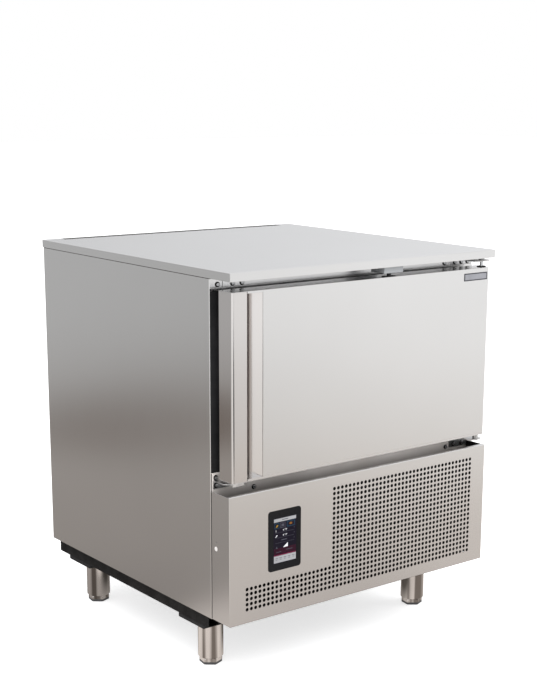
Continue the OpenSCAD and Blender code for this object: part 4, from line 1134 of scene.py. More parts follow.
@dataclass
class Cabinet:
    """Worktop, cladding, front frame and the insulated shell behind them.

    Attributes:
        sheet: thickness of the folded sheets.
        lid_corner: radius of the lid's corners, seen from above.
        lid_edge: rounding of its upper edge.
        lid_hem: rounding of its lower edge.
        lid_return: width of the inward fold at its lower edge.
        vent_gap: gap round the rear vent strip.
        fold: radius inside the side panels' folds.
        stile: width of their front fold.
        seam: gap above them.
        lip: how far the top rail's lip hangs below the rail.
        rear_flange: width of the side panels' rear fold.
        screw_d: diameter of a screw's head.
        screw_h: its height.
        crown: share of its radius out to which it is almost flat.
        rim: share of its rows of faces from which they take a painted ring of shade.
        cross_reach: half the length of the cross's bars, as a share of the head's radius.
        cross_half: half their width, as a share of it too.
        cross_depth: depth of the cross.
        screws: middle of each head's rear face.
    """

    sheet: float = 1.0
    lid_corner: float = 1.6
    lid_edge: float = 1.3
    lid_hem: float = 0.4
    lid_return: float = 15.0
    vent_gap: float = 0.2
    fold: float = 0.9
    stile: float = 34.0
    seam: float = 1.3
    lip: float = 5.8
    rear_flange: float = 15.0
    screw_d: float = 12.0
    screw_h: float = 3.0
    crown: float = 0.6
    rim: float = 0.64
    cross_reach: float = 0.56
    cross_half: float = 0.15
    cross_depth: float = 0.95
    screws: tuple[tuple[float, float, float], ...] = (
        (-372.8, -331.3, 911.5),
        (-332.8, -331.3, 911.5),
        (-308.0, -331.3, 911.5),
        (300.0, -331.3, 911.5),
        (332.4, -334.3, 911.5),
        (354.0, -334.3, 911.5),
        (375.3, -334.3, 911.5),
        (-278.7, -334.5, 447.0),
        (319.5, -334.5, 447.0),
        (-383.0, -334.5, 485.4),
        (-383.0, -336.5, 468.5),
        (344.3, -337.5, 452.0),
        (372.3, -337.5, 452.0),
    )

    def build(self) -> None:
        """Builds and dresses every piece of the cabinet."""
        self.worktop()
        refine("rear_vent_strip", BLACK_PLASTIC, 0.3)
        for side in ("left", "right"):
            self.side_panel(side)
        refine("rear_panel", SIDE_STEEL, 0.25)
        refine("top_rail", RAIL_STEEL, 0.4)
        refine("bottom_rail", MATT_RAIL, 0.4)
        self.rail_lip()
        refine("breaker_frame", BLACK_PLASTIC, 0.3)
        refine("chamber_liner", LINER_STEEL, 0.3)
        dress("worktop_core", CORE_BOARD)
        dress("cabinet_insulation", FOAM)
        self.frame_screws()

    def worktop(self) -> None:
        """Lid: a section of rounded edge, skirt, return and inner face, carried round."""
        low, high = corners_of("worktop")
        vent_low, vent_high = corners_of("rear_vent_strip")
        gap = self.vent_gap
        vent = rounded_rect(vent_low[:2] - gap, vent_high[:2] + gap, 0.5, 2)
        edge = [(i, high[2] - drop) for i, drop in quarter_round(self.lid_edge)]
        hem = [(i, low[2] + drop) for i, drop in quarter_round(self.lid_hem, 3)][::-1]
        inner = [
            (self.lid_return, low[2]),
            (self.lid_return, low[2] + self.sheet),
            (self.sheet, low[2] + self.sheet),
            (self.sheet, high[2] - self.sheet),
        ]
        radius = self.lid_corner
        skirt = ring_of_rects(edge + hem + inner, low[:2], high[:2], Axis.Z, radius, False)
        flats = []
        for inset, height in ((self.lid_edge, high[2]), (self.sheet, high[2] - self.sheet)):
            outer = rounded_rect(low[:2] + inset, high[:2] - inset, radius - inset, 4)
            flats.append(flat_fill(Axis.Z, height, outer, [vent]))
        walls = prism(vent, Axis.Z, high[2] - self.sheet, high[2], caps=False)
        shell = join([skirt, *flats, walls])
        Piece("worktop_lid", shell, [TOP_STEEL], ["worktop"]).build()

    def side_panel(self, side: str) -> None:
        """Cladding sheet: its folded section carried upright, with black strips that paint the
        shade in the gaps along its edges.

        Args:
            side: "left" or "right".
        """
        node = "side_panel_" + side
        low, high = corners_of("side_panel_left")
        path = [
            (low[0] + self.rear_flange, high[1]),
            (low[0], high[1]),
            (low[0], low[1]),
            (low[0] + self.stile, low[1]),
        ]
        outline = bent_sheet(path, self.sheet, self.fold)
        shell = prism(outline, Axis.Z, low[2], high[2] - self.seam)
        half = len(outline) // 2
        shell.inks[half : 2 * half - 1] = [1] * (half - 1)
        x, y, bottom = low
        top, rear, end_x = high[2], y + self.sheet, x + self.stile
        # Black strips of painted shade: under the lid's skirt, along the top, beside the breaker
        # frame and beside the cheek.
        along_top = ((x + 0.6, y + 0.6, top - 3), (x + 1.6, high[1] - 2, top - 0.1))
        across_top = ((x + 2, y + 0.6, top - 3), (end_x + 1, rear + 0.2, top - 0.1))
        beside_frame = ((end_x - 3, rear - 0.1, top - 24), (end_x + 2, rear + 0.2, top))
        beside_cheek = ((x + 0.25, y - 1.9, bottom + 2), (x + 0.9, y - 0.1, bottom + 298))
        for start, end in (along_top, across_top, beside_frame, beside_cheek):
            flat = rounded_rect(start[:2], end[:2], 0.05, 1)
            shell = shell + prism(flat, Axis.Z, start[2], end[2], ink=1)
        if side == "right":
            shell = shell.mirrored()
        Piece(node + "_sheet", shell, [SIDE_STEEL, BLACK_PAINT], [node], 0.25).build()

    def rail_lip(self) -> None:
        """Lower hem of the top rail, lapping over the breaker frame: a thin strip along X."""
        low, high = corners_of("top_rail")
        y, z, beyond = low[1], low[2], self.stile - 2
        section = rounded_rect((y - 2.2, z - self.lip), (y + 0.2, z + 1.2), 0.7, 3)
        strip = prism(section, Axis.X, low[0] - beyond, high[0] + beyond)
        Piece("top_rail_lip", strip, [RAIL_STEEL], near="top_rail").build()

    def frame_screws(self) -> None:
        """Pan-head screws: a dome over a disc with a cross sunk into it.

        The head is almost flat out to its crown and falls from there to the rim by a power of the
        way, less the recess where the point is inside either bar of the cross. Rows of the grid run
        from the centre outwards, then down the rim.
        """
        rows, sides = 22, 56
        share = np.concatenate([np.linspace(0.02, 1.0, rows), [1.0, 1.0]])[:, None]
        turn = np.linspace(0, 2 * np.pi, sides, endpoint=False)[None]
        radius = self.screw_d / 2
        across, up = radius * share * np.cos(turn), radius * share * np.sin(turn)
        beyond = np.clip((share - self.crown) / (1 - self.crown), 0, 1)
        dome = self.screw_h * (1 - 0.06 * share**2 - 0.55 * beyond**1.7) + 0 * turn
        reach, half = self.cross_reach * radius, self.cross_half * radius
        bars = [
            np.clip((reach - abs(a)) / 0.25, 0, 1) * np.clip((half - abs(b)) / 0.18, 0, 1)
            for a, b in ((across, up), (up, across))
        ]
        height = dome - self.cross_depth * np.maximum(*bars)
        height[-2] = self.screw_h * 0.3
        height[-1] = 0.0
        head = grid(np.stack([across, -height, up], -1), wrap_v=True, caps=True)
        # The outer rows take the dark finish, a painted ring of shade round each head.
        rim = int(rows * self.rim) * sides
        head.inks[rim:-2] = [1] * (len(head.inks) - 2 - rim)
        shells = [head.moved(place) for place in self.screws]
        looks = [SCREW_STEEL, SCREW_SHADE]
        Piece(
            "frame_screw_heads", join(shells), looks, ["frame_screws"], weighted=False
        ).build()


# ---------------------------------------------------------------- door


@dataclass
class Door:
    """Door with its full-height handle, gasket and inner liner.

    Attributes:
        edge_r: radius of the handle's left edge, and the hem's distance from the door's right edge.
        mouth_r: radius of the bar's edge beside the finger groove.
        groove_r: radius at the foot of the groove's slope.
        bar_w: width of the bar in front.
        bar_t: its thickness.
        groove_d: depth of the finger groove.
        slope_w: width of its sloping side.
        wall: thickness of the walls behind it.
        skin: thickness of the sheet where the slope meets the door's skin.
        badge_short: how much narrower the badge is than its CAD plate.
        gasket_w: width of the gasket's section.
        hem_t: how far the lower hem stands out.
        hem_h: its height.
    """

    edge_r: float = 6.0
    mouth_r: float = 3.2
    groove_r: float = 8.0
    bar_w: float = 40.5
    bar_t: float = 9.0
    groove_d: float = 36.0
    slope_w: float = 34.5
    wall: float = 2.0
    skin: float = 1.0
    badge_short: float = 2.6
    gasket_w: float = 22.0
    hem_t: float = 0.5
    hem_h: float = 4.6

    def build(self) -> None:
        """Builds and dresses every piece of the door."""
        refine("door_skin", DOOR_STEEL, 0.6)
        self.handle()
        refine("door_end_caps", DOOR_STEEL, 0.3)
        self.hem()
        refine("door_liner", LINER_STEEL, 0.8)
        dress("door_insulation", FOAM)
        self.gasket()
        self.badge()
        refine("door_magnet", BLACK_PLASTIC, 0.4)
        refine("door_bushes", BLACK_PLASTIC, 0.3)

    def handle(self) -> None:
        """Handle profile: one outline round bar, finger groove and rear walls, run upright."""
        low, high = corners_of("door_handle")
        left, front, rear = low[0], low[1], high[1]
        right = corners_of("door_skin")[0][0]
        mouth, inner = left + self.bar_w, left + self.wall
        back = front + self.groove_d
        length = math.hypot(self.slope_w, self.groove_d)

        def behind(wall: float, depth: float) -> float:
            """Place along X of the slope's rear side, a wall behind it, at a depth."""
            return right + (wall * length - depth * self.slope_w) / self.groove_d

        corners = (
            ((left, front), self.edge_r),
            ((mouth, front), self.mouth_r),
            ((mouth, front + self.bar_t), 1.0),
            ((inner, front + self.bar_t), 0.8),
            ((inner, back), 2.5),
            ((right - self.slope_w, back), self.groove_r),
            ((right, front), 0.7),
            ((right, front + self.skin), 0.0),
            ((behind(self.wall, self.skin), front + self.skin), 0.0),
            ((behind(self.wall, self.groove_d + self.wall), back + self.wall), self.groove_r),
            ((inner, back + self.wall), 0.5),
            ((inner, rear), 0.0),
            ((left, rear), 0.0),
        )
        steps = 8
        outline = fillet([place for place, _ in corners], [radius for _, radius in corners], steps)
        shell = prism(outline, Axis.Z, low[2], high[2])
        # The faces inside the groove, behind the bar, take the painted shade.
        groove = slice(2 * steps + 1, 4 * steps + 3)
        shell.inks[groove] = [1] * len(shell.inks[groove])
        looks = [HANDLE_STEEL, GRIP_SHADE]
        Piece("door_handle_profile", shell, looks, ["door_handle"], 0.2).build()

    def hem(self) -> None:
        """Hem along the door's lower edge: a thin rounded plate with a strip of painted shade above
        it, where a seam's shadow line falls.
        """
        low, high = corners_of("door_skin")
        start = corners_of("door_handle")[0][0] + self.bar_w + 1
        front, top = low[1] - self.hem_t, low[2] + self.hem_h
        plate = rounded_rect((front, low[2] + 0.2), (low[1] + 0.3, top), 0.25, 2)
        # The seam strip is a painted shade line.
        seam = rounded_rect((low[1] - 0.12, top - 0.1), (low[1] + 0.2, top + 0.9), 0.05, 1)
        shell = prism(plate, Axis.X, start, high[0] - self.edge_r)
        shell = shell + prism(seam, Axis.X, start, high[0] - self.edge_r, ink=1)
        looks = [DOOR_STEEL, GRIP_SHADE]
        Piece("door_lower_hem", shell, looks, near="door_skin").build()

    def gasket(self) -> None:
        """Gasket: a bellows section from its foot to its magnet block, round the door's back."""
        low, high = corners_of("door_gasket")
        face, tip = low[1], high[1]
        half = [
            (3.0, face),
            (3.0, face + 2.4),
            (6.5, face + 3.8),
            (4.2, face + 6.2),
            (6.5, face + 8.6),
            (0.5, face + 10.4),
            (0.0, face + 11.2),
            (0.0, tip - 0.9),
            (0.9, tip),
        ]
        section = half + [(self.gasket_w - i, y) for i, y in half[::-1]]
        flat_low, flat_high = low[[0, 2]], high[[0, 2]]
        shell = ring_of_rects(section, flat_low, flat_high, Axis.Y, 0.6, True)
        Piece("door_gasket_bellows", shell, [GASKET], ["door_gasket"], 0.3).build()

    def badge(self) -> None:
        """Blank badge: a plate with a raised rim round a sunk field."""
        low, high = corners_of("badge_plate")
        high[0] -= self.badge_short
        rear, front = high[1], low[1]
        steps = [
            (0.0, rear, 1.0),
            (0.0, front + 0.25, 1.0),
            (0.25, front, 0.9),
            (2.3, front, 0.6),
            (2.6, front + 0.3, 0.5),
        ]
        flat_low, flat_high = low[[0, 2]], high[[0, 2]]
        loops = [(rounded_rect(flat_low + i, flat_high - i, r, 4), y) for i, y, r in steps]
        plate = loft(loops, Axis.Y)
        plate.inks[-1] = 1
        Piece("badge_blank", plate, [BADGE_RIM, BADGE], ["badge_plate"]).build()


# ---------------------------------------------------------------- hinges


@dataclass
class Hinges:
    """Hinge plates, their pins, the spare bracket and the door switch."""

    def build(self) -> None:
        """Refines and dresses each fitting."""
        for node in ("top_hinge_bracket", "bottom_hinge_bracket", "spare_hinge_bracket"):
            refine(node, FITTING_STEEL, 0.5)
        refine("hinge_pins", SCREW_STEEL, 0.4)
        refine("door_switch", GREY_PAINT, 0.5)


# ---------------------------------------------------------------- front panel


class Ink(Enum):
    """Colours on the display: colour and own light."""

    PALE = ((0.30, 0.30, 0.31), 0.12)
    WHITE = ((0.62, 0.62, 0.64), 0.3)
    TEAL = ((0.008, 0.045, 0.075), 0.5)
    AMBER = ((0.24, 0.14, 0.02), 0.3)
    ORANGE = ((0.17, 0.065, 0.012), 0.3)
    LINE = ((0.055, 0.055, 0.07), 0.3)
    WINE = ((0.020, 0.003, 0.010), 0.4)
    CRIMSON = ((0.20, 0.008, 0.05), 0.5)
    DUSK = ((0.008, 0.006, 0.014), 0.2)

    def finish(self) -> Finish:
        """The lit finish of this ink.

        Returns:
            A finish with the ink's colour and glow.
        """
        colour, glow = self.value
        shade = tuple(0.85 * c for c in colour)
        name = "ink_" + self.name.lower()
        return Finish(name, colour, shade, (0.2, 0.3), relief=0.001, glow=glow, gloss=0.15)


@dataclass
class FrontPanel:
    """Perforated front sheet, its cheeks and the touch display.

    Attributes:
        thick: thickness of the sheet.
        edge: rounding of its outer edges.
        corner_r: radius of its corners.
        window_inset: how far the display's opening lies inside the display frame's outline.
        hole_r: radius of a perforation.
        burr: chamfer round its front.
        pitch: distance between two perforations.
        columns: perforations in a full row.
        rows_low: full rows, at the bottom.
        rows: rows in all.
        columns_out: perforations left out at the left of each row above those.
        inset_x: the first column's distance from the panel's left edge.
        inset_z: the first row's distance from its upper edge.
        top_hem: depth of the fold at the top.
        tray_depth: depth of the fold at the bottom.
        sides: points round a perforation.
        bezel_inset: how far the display frame's body lies inside its outline.
        bezel_rim: thickness of the frame outside its body.
        bezel_round: rounding of its front edge.
        bezel_corner: radius of its corners.
    """

    thick: float = 1.2
    edge: float = 1.8
    corner_r: float = 1.4
    window_inset: float = 4.0
    hole_r: float = 4.0
    burr: float = 0.15
    pitch: float = 11.86
    columns: int = 59
    rows_low: int = 5
    rows: int = 21
    columns_out: int = 21
    inset_x: float = 47.9
    inset_z: float = 30.3
    top_hem: float = 6.8
    tray_depth: float = 68.7
    sides: int = 16
    bezel_inset: float = 4.2
    bezel_rim: float = 1.6
    bezel_round: float = 1.1
    bezel_corner: float = 7.0

    def build(self) -> None:
        """Builds and dresses the panel and all that sits in it."""
        self.sheet()
        refine("front_panel_cheeks", PANEL_STEEL, 0.25, inside=BLACK_PAINT)
        refine("cheek_plug", WHITE_PLASTIC, 0.3)
        self.bezel()
        self.screen()
        self.picture()
        refine("control_box", ZINC, 0.3)

    def cells(self) -> tuple[np.ndarray, np.ndarray, np.ndarray]:
        """Hole centres and the loops of one hole and of the square cell round it.

        The square's points lie on the same rays as the circle's: each is the ray's direction over
        the larger of its two coordinates.

        Returns:
            The centres, the hole's unit circle and the cell's unit square.
        """
        low, high = corners_of("front_panel")
        numbers = np.arange(self.rows), np.arange(self.columns)
        row, column = np.meshgrid(*numbers, indexing="ij")
        beside = self.rows - self.rows_low
        kept = (row >= beside) | (column >= self.columns_out)
        x = low[0] + self.inset_x + column[kept] * self.pitch
        z = high[2] - self.inset_z - row[kept] * self.pitch
        turn = np.arange(self.sides) * 2 * np.pi / self.sides
        circle = np.stack([np.cos(turn), np.sin(turn)], -1)
        square = circle / np.max(abs(circle), -1, keepdims=True)
        return np.stack([x, z], -1), circle, square

    def field_outline(self) -> Loop:
        """Outline of the perforated field, with the cells' own points along it.

        Returns:
            The outline, an L of straight runs.
        """
        low, high = corners_of("front_panel")
        half = self.pitch / 2
        x0 = low[0] + self.inset_x - half
        x1 = x0 + self.columns_out * self.pitch
        x2 = x0 + self.columns * self.pitch
        z2 = high[2] - self.inset_z + half
        z0 = z2 - self.rows * self.pitch
        z1 = z0 + self.rows_low * self.pitch
        turn = np.arange(-2, 3) * 2 * np.pi / self.sides
        steps = np.tan(turn)[:-1] * half
        ends = [(x0, z0), (x2, z0), (x2, z2), (x1, z2), (x1, z1), (x0, z1)]
        parts = []
        for start, end in zip(ends, ends[1:] + ends[:1]):
            start, end = np.array(start), np.array(end)
            count = round(np.linalg.norm(end - start) / self.pitch)
            heading = (end - start) / (count * self.pitch)
            along = (np.arange(count)[:, None] * self.pitch + half + steps[None]).ravel()
            parts.append(start + along[:, None] * heading)
        return np.concatenate(parts)

    def sheet(self) -> None:
        """Punched sheet: rings round every hole, flat faces between, rounded outer edges and two
        folds; the hole walls and the bottom fold are black, as painted shade.
        """
        low, high = corners_of("front_panel")
        front, rear = low[1], low[1] + self.thick
        back = rear + 0.01
        centres, circle, square = self.cells()
        rings = [
            (square * self.pitch / 2, front),
            (circle * (self.hole_r + self.burr), front),
            (circle * self.hole_r, front + self.burr),
            (circle * self.hole_r, rear),
            (square * self.pitch / 2, rear),
        ]
        cell = np.stack([Axis.Y.place(loop, depth) for loop, depth in rings])
        offsets = Axis.Y.place(centres, 0.0)
        points = (cell[None] + offsets[:, None, None]).reshape(-1, 3)
        one = np.array(grid(cell, wrap_v=True).faces)
        numbers = one[None] + (np.arange(len(centres)) * cell.size // 3)[:, None, None]
        faces = [tuple(f) for f in numbers.reshape(-1, 4).tolist()]
        # Burr, hole walls and each cell's rear face take black paint: painted shade, so the holes
        # read dark.
        wall = np.repeat([0, 1, 1, 1], self.sides)
        holes = Shell(points, faces, np.tile(wall, len(centres)).tolist())
        field_loop = self.field_outline()
        bezel_low, bezel_high = corners_of("display_bezel")
        inset = self.window_inset
        window = rounded_rect(bezel_low[[0, 2]] + inset, bezel_high[[0, 2]] - inset, 2.0, 3)
        flat_low, flat_high = low[[0, 2]], high[[0, 2]]
        edge = [(i, front + drop) for i, drop in quarter_round(self.edge)]
        edge += [(0.0, back), (self.thick, back)]
        rim = ring_of_rects(edge, flat_low, flat_high, Axis.Y, self.corner_r, False)
        plates = []
        for inset, depth in ((self.edge, front), (self.thick, back)):
            radius = self.corner_r - inset
            outer = rounded_rect(flat_low + inset, flat_high - inset, radius, 4)
            plates.append(flat_fill(Axis.Y, depth, outer, [field_loop, window]))
        window_walls = prism(window, Axis.Y, front, back, caps=False)
        hems = []
        for z, side, depth in ((high[2], -1, self.top_hem), (low[2], 1, self.tray_depth)):
            run = [(rear, z - side * 0.2), (rear + depth, z - side * 0.2)]
            section = bent_sheet(run, side * self.thick, 0.0)
            # The bottom fold takes black paint, a dark sheet that paints the shade of the bay
            # below.
            hems.append(prism(section, Axis.X, low[0] + 2, high[0] - 2, ink=int(side > 0)))
        shell = join([holes, rim, *plates, window_walls, *hems])
        looks = [PANEL_STEEL, BLACK_PAINT]
        Piece("front_panel_punched", shell, looks, ["front_panel"]).build()

    def bezel(self) -> None:
        """Display frame: rounded rectangles from its body out to the front and in to the glass."""
        low, high = corners_of("display_bezel")
        glass_low, glass_high = corners_of("touch_screen")
        flat_low, flat_high = low[[0, 2]], high[[0, 2]]
        pane_low, pane_high = glass_low[[0, 2]] - 0.1, glass_high[[0, 2]] + 0.1
        front, rim = low[1], low[1] + self.bezel_rim
        body = rounded_rect(flat_low + self.bezel_inset, flat_high - self.bezel_inset, 2.0)
        loops = [(body, high[1]), (body, rim)]
        for inset, drop in quarter_round(self.bezel_round)[::-1]:
            loop = rounded_rect(flat_low + inset, flat_high - inset, self.bezel_corner - inset)
            loops.append((loop, front + drop if drop < self.bezel_round - 0.01 else rim))
        inset = self.bezel_round
        face = rounded_rect(flat_low + inset, flat_high - inset, self.bezel_corner - inset)
        pane = rounded_rect(pane_low, pane_high, 1.0)
        loops += [
            (face, front),
            (rounded_rect(pane_low - 0.5, pane_high + 0.5, 1.4), front),
            (pane, front + 0.2),
            (pane, front + 1.0),
        ]
        Piece("display_frame", loft(loops, Axis.Y), [GLOSS_BLACK], ["display_bezel"]).build()

    def screen(self) -> None:
        """Glass pane with a fine rounded edge."""
        low, high = corners_of("touch_screen")
        flat_low, flat_high = low[[0, 2]], high[[0, 2]]
        steps = ((0.0, high[1]), (0.0, low[1] + 0.15), (0.15, low[1]))
        loops = [(rounded_rect(flat_low + i, flat_high - i, 1.0), y) for i, y in steps]
        Piece("display_glass", loft(loops, Axis.Y), [SCREEN_GLASS], ["touch_screen"]).build()

    def picture(self) -> None:
        """Generic picture on the display: bars, tiles, rules, a ramp and a foot bar."""
        low, high = corners_of("touch_screen")
        inks = list(Ink)
        shells = []

        def patch(corners: Sequence[Sequence[float]], ink: Ink, lift: float = 0.02) -> None:
            """Adds a thin plate.

            Args:
                corners: its corners, in millimetres from the glass's left and upper edges.
                ink: its colour.
                lift: how far it stands in front of the glass.
            """
            flat = np.array([(low[0] + a, high[2] - b) for a, b in corners])
            front = low[1] - lift
            shells.append(prism(flat, Axis.Y, front, low[1] - 0.002, ink=inks.index(ink)))

        def bar(x0: float, z0: float, x1: float, z1: float, ink: Ink, lift: float = 0.02) -> None:
            """Adds an upright rectangle."""
            patch([(x0, z0), (x1, z0), (x1, z1), (x0, z1)], ink, lift)

        bar(1.2, 1.2, 63.8, 9.0, Ink.PALE)
        bar(24, 4.2, 41, 5.8, Ink.LINE, 0.03)
        bar(1.2, 9.6, 63.8, 26.0, Ink.DUSK)
        for x0, x1, ink in ((3, 16, Ink.TEAL), (19, 33, Ink.LINE), (38, 60, Ink.TEAL)):
            bar(x0, 11.5, x1, 24.0, ink, 0.03)
            bar(x0 + 1, 12.5, x1 - 1, 23.0, Ink.DUSK, 0.04)
        patch([(6, 20.5), (10.5, 14.5), (13.5, 17.5), (9, 21.5)], Ink.AMBER, 0.05)
        bar(22.5, 14.8, 29.5, 20.8, Ink.LINE, 0.05)
        drum = [(45, 16), (49, 14.6), (53, 16), (52.6, 19.4), (49, 20.4), (45.4, 19.4)]
        patch(drum, Ink.ORANGE, 0.05)
        for z in (34.0, 46.0, 58.0):
            bar(4.5, z, 58, z + 0.5, Ink.LINE)
            patch([(58, z - 7), (60.2, z - 5.6), (58, z - 4.2)], Ink.LINE)
        bar(6.2, 27.2, 8.0, 32.2, Ink.PALE)
        patch([(5, 44.0), (9.6, 38.6), (11.4, 40.0), (7.4, 44.0)], Ink.WHITE)
        for z in (27.6, 39.6):
            bar(27, z + 0.8, 29.2, z + 3.4, Ink.WHITE)
            bar(32, z, 33.4, z + 1.4, Ink.WHITE)
            bar(35, z, 38.6, z + 0.9, Ink.WHITE)
            bar(35, z + 0.9, 35.9, z + 4.0, Ink.WHITE)
        bar(22, 51.4, 38, 53.4, Ink.LINE)
        patch([(26.5, 71.0), (40.5, 61.0), (40.5, 71.0)], Ink.WHITE)
        patch([(5.5, 71.5), (9.0, 66.0), (12.5, 71.5)], Ink.LINE)
        bar(1.2, 70.5, 63.8, 87.4, Ink.WINE)
        bar(1.2, 86.6, 63.8, 87.6, Ink.CRIMSON, 0.03)
        bar(8, 79.0, 22, 80.4, Ink.LINE, 0.03)
        bar(36, 76.6, 54, 78.0, Ink.LINE, 0.03)
        bar(1.2, 88.6, 63.8, 104.8, Ink.PALE)
        for x0 in (5, 17, 29, 41, 53):
            bar(x0, 93.6, x0 + 7, 94.7, Ink.LINE, 0.03)
            bar(x0 + 1, 97.2, x0 + 6, 98.2, Ink.LINE, 0.03)
        looks = [ink.finish() for ink in inks]
        Piece(
            "display_picture", join(shells), looks, near="touch_screen", weighted=False
        ).build()


# ---------------------------------------------------------------- chamber


@dataclass
class Chamber:
    """Tray racks, fans, evaporator and what drains it.

    Attributes:
        wire_r: radius of the fan guards' wires.
        ring_y: the rings' place behind the guards' front.
        spoke_y: the spokes' place behind it.
        rings: rings in each guard.
        spokes: spokes in each guard.
    """

    wire_r: float = 1.4
    ring_y: float = 1.5
    spoke_y: float = 4.35
    rings: int = 5
    spokes: int = 4

    def build(self) -> None:
        """Builds and dresses all that stands in the chamber."""
        for node in ("tray_runners", "rack_posts"):
            refine(node, LINER_STEEL, 0.4)
        refine("evaporator_fan_plate", LINER_STEEL, 0.4)
        refine("evaporator_coil", FINS, 0.0)
        refine("evaporator_fan_motors", BLACK_PAINT, 0.6)
        refine("condensate_tray", LINER_STEEL, 0.3)
        refine("expansion_valve", BRASS, 0.4)
        refine("probe_socket", BLACK_PLASTIC, 0.5)
        self.guards()
        for node in ("evaporator_fan_left", "evaporator_fan_right"):
            rotor(node, FAN_PLASTIC)

    def guards(self) -> None:
        """Wire guards: rings in front of straight spokes, whose ends lie on the fan plate."""
        low, high = corners_of("fan_guards")
        radius = (high[2] - low[2]) / 2
        z = (high[2] + low[2]) / 2
        reach = radius - 8.0
        front, behind = low[1] + self.ring_y, low[1] + self.spoke_y
        turn = np.linspace(0, 2 * np.pi, 72, endpoint=False)
        run = np.linspace(0.5 - radius, radius - 0.5, 9)[:, None]
        shells = []
        for sign in (-1, 1):
            x = sign * ((high[0] - low[0]) / 2 - radius)
            for number in range(1, self.rings + 1):
                r = number * reach / self.rings - 1.5
                path = np.stack([x + r * np.cos(turn), front + 0 * turn, z + r * np.sin(turn)], -1)
                shells.append(tube(path, self.wire_r, closed=True, sides=8))
            for number in range(self.spokes):
                angle = np.pi * number / self.spokes
                heading = np.array([[np.cos(angle), 0.0, np.sin(angle)]])
                path = np.array([[x, behind, z]]) + run * heading
                shells.append(tube(path, self.wire_r, sides=8))
        Piece(
            "fan_guard_wires", join(shells), [FITTING_STEEL], ["fan_guards"], weighted=False
        ).build()


def rotor(node: str, look: Finish, blades: int = 5, hub_r: float = 38.0) -> None:
    """Fan rotor about a line along Y: a rounded hub and cambered blades.

    A blade's point at share s of its radius and place c along its chord lies round the axis by c
    times the chord times the cosine of the pitch, over the radius, and along it by the sine. The
    pitch falls towards the tip, the camber adds a parabola, and the chord is closed to a loop as
    thick as a plate that thins at both edges.

    Args:
        node: the CAD rotor that the piece stands for.
        look: the finish.
        blades: number of blades.
        hub_r: radius of the hub.
    """
    root_pitch, twist, sweep, camber, plate = 38, 14, 0.28, 2.2, 0.9
    low, high = corners_of(node)
    centre = (low + high) / 2
    depth = high[1] - low[1]
    tip = min(high[0] - low[0], high[2] - low[2]) / 2 - 0.5
    share = np.linspace(0, 1, 12)[:, None]
    loop = np.linspace(0, 2 * np.pi, 28, endpoint=False)[None]
    chord_at = 0.5 * np.cos(loop)
    skin = plate * np.sin(loop) * np.sqrt(np.clip(1.02 - (2 * chord_at) ** 2, 0, 1))
    radius = hub_r - 3 + share * (tip - hub_r + 3)
    pitch = np.radians(root_pitch - twist * share)
    width = 0.86 + 0.22 * share - 0.12 * share**2
    chord = (depth - 5) / np.sin(np.radians(root_pitch)) * width
    around = (chord_at * chord * np.cos(pitch) - skin * np.sin(pitch)) / radius + sweep * share
    along = chord_at * chord * np.sin(pitch) + skin * np.cos(pitch)
    along = along + camber * (1 - 4 * chord_at**2)
    half = depth / 2
    y = -np.clip(along, 1 - half, half - 1)
    shells = []
    for number in range(blades):
        angle = around + 2 * np.pi * number / blades
        points = np.stack([radius * np.cos(angle), y, radius * np.sin(angle)], -1)
        shells.append(grid(points, wrap_v=True, caps=True))
    arc = np.linspace(0, math.pi / 2, 6)
    nose = np.stack([hub_r - 5 * (1 - np.cos(arc)), 5 - half - 4.8 * np.sin(arc)], -1)
    profile = np.array(
        [(hub_r - 6, half - 0.2), (hub_r - 0.6, half - 0.2), (hub_r, half - 1), (hub_r, 5 - half)]
        + nose.tolist()
        + [(hub_r * 0.4, 0.2 - half), (hub_r * 0.36, 1.4 - half), (2.0, 1.4 - half)]
    )
    shells.append(revolve(profile, (0, 0, 0), Axis.Y))
    shell = join(shells).moved(centre)
    Piece(node + "_rotor", shell, [look], [node], weighted=False).build()


# ---------------------------------------------------------------- undercarriage


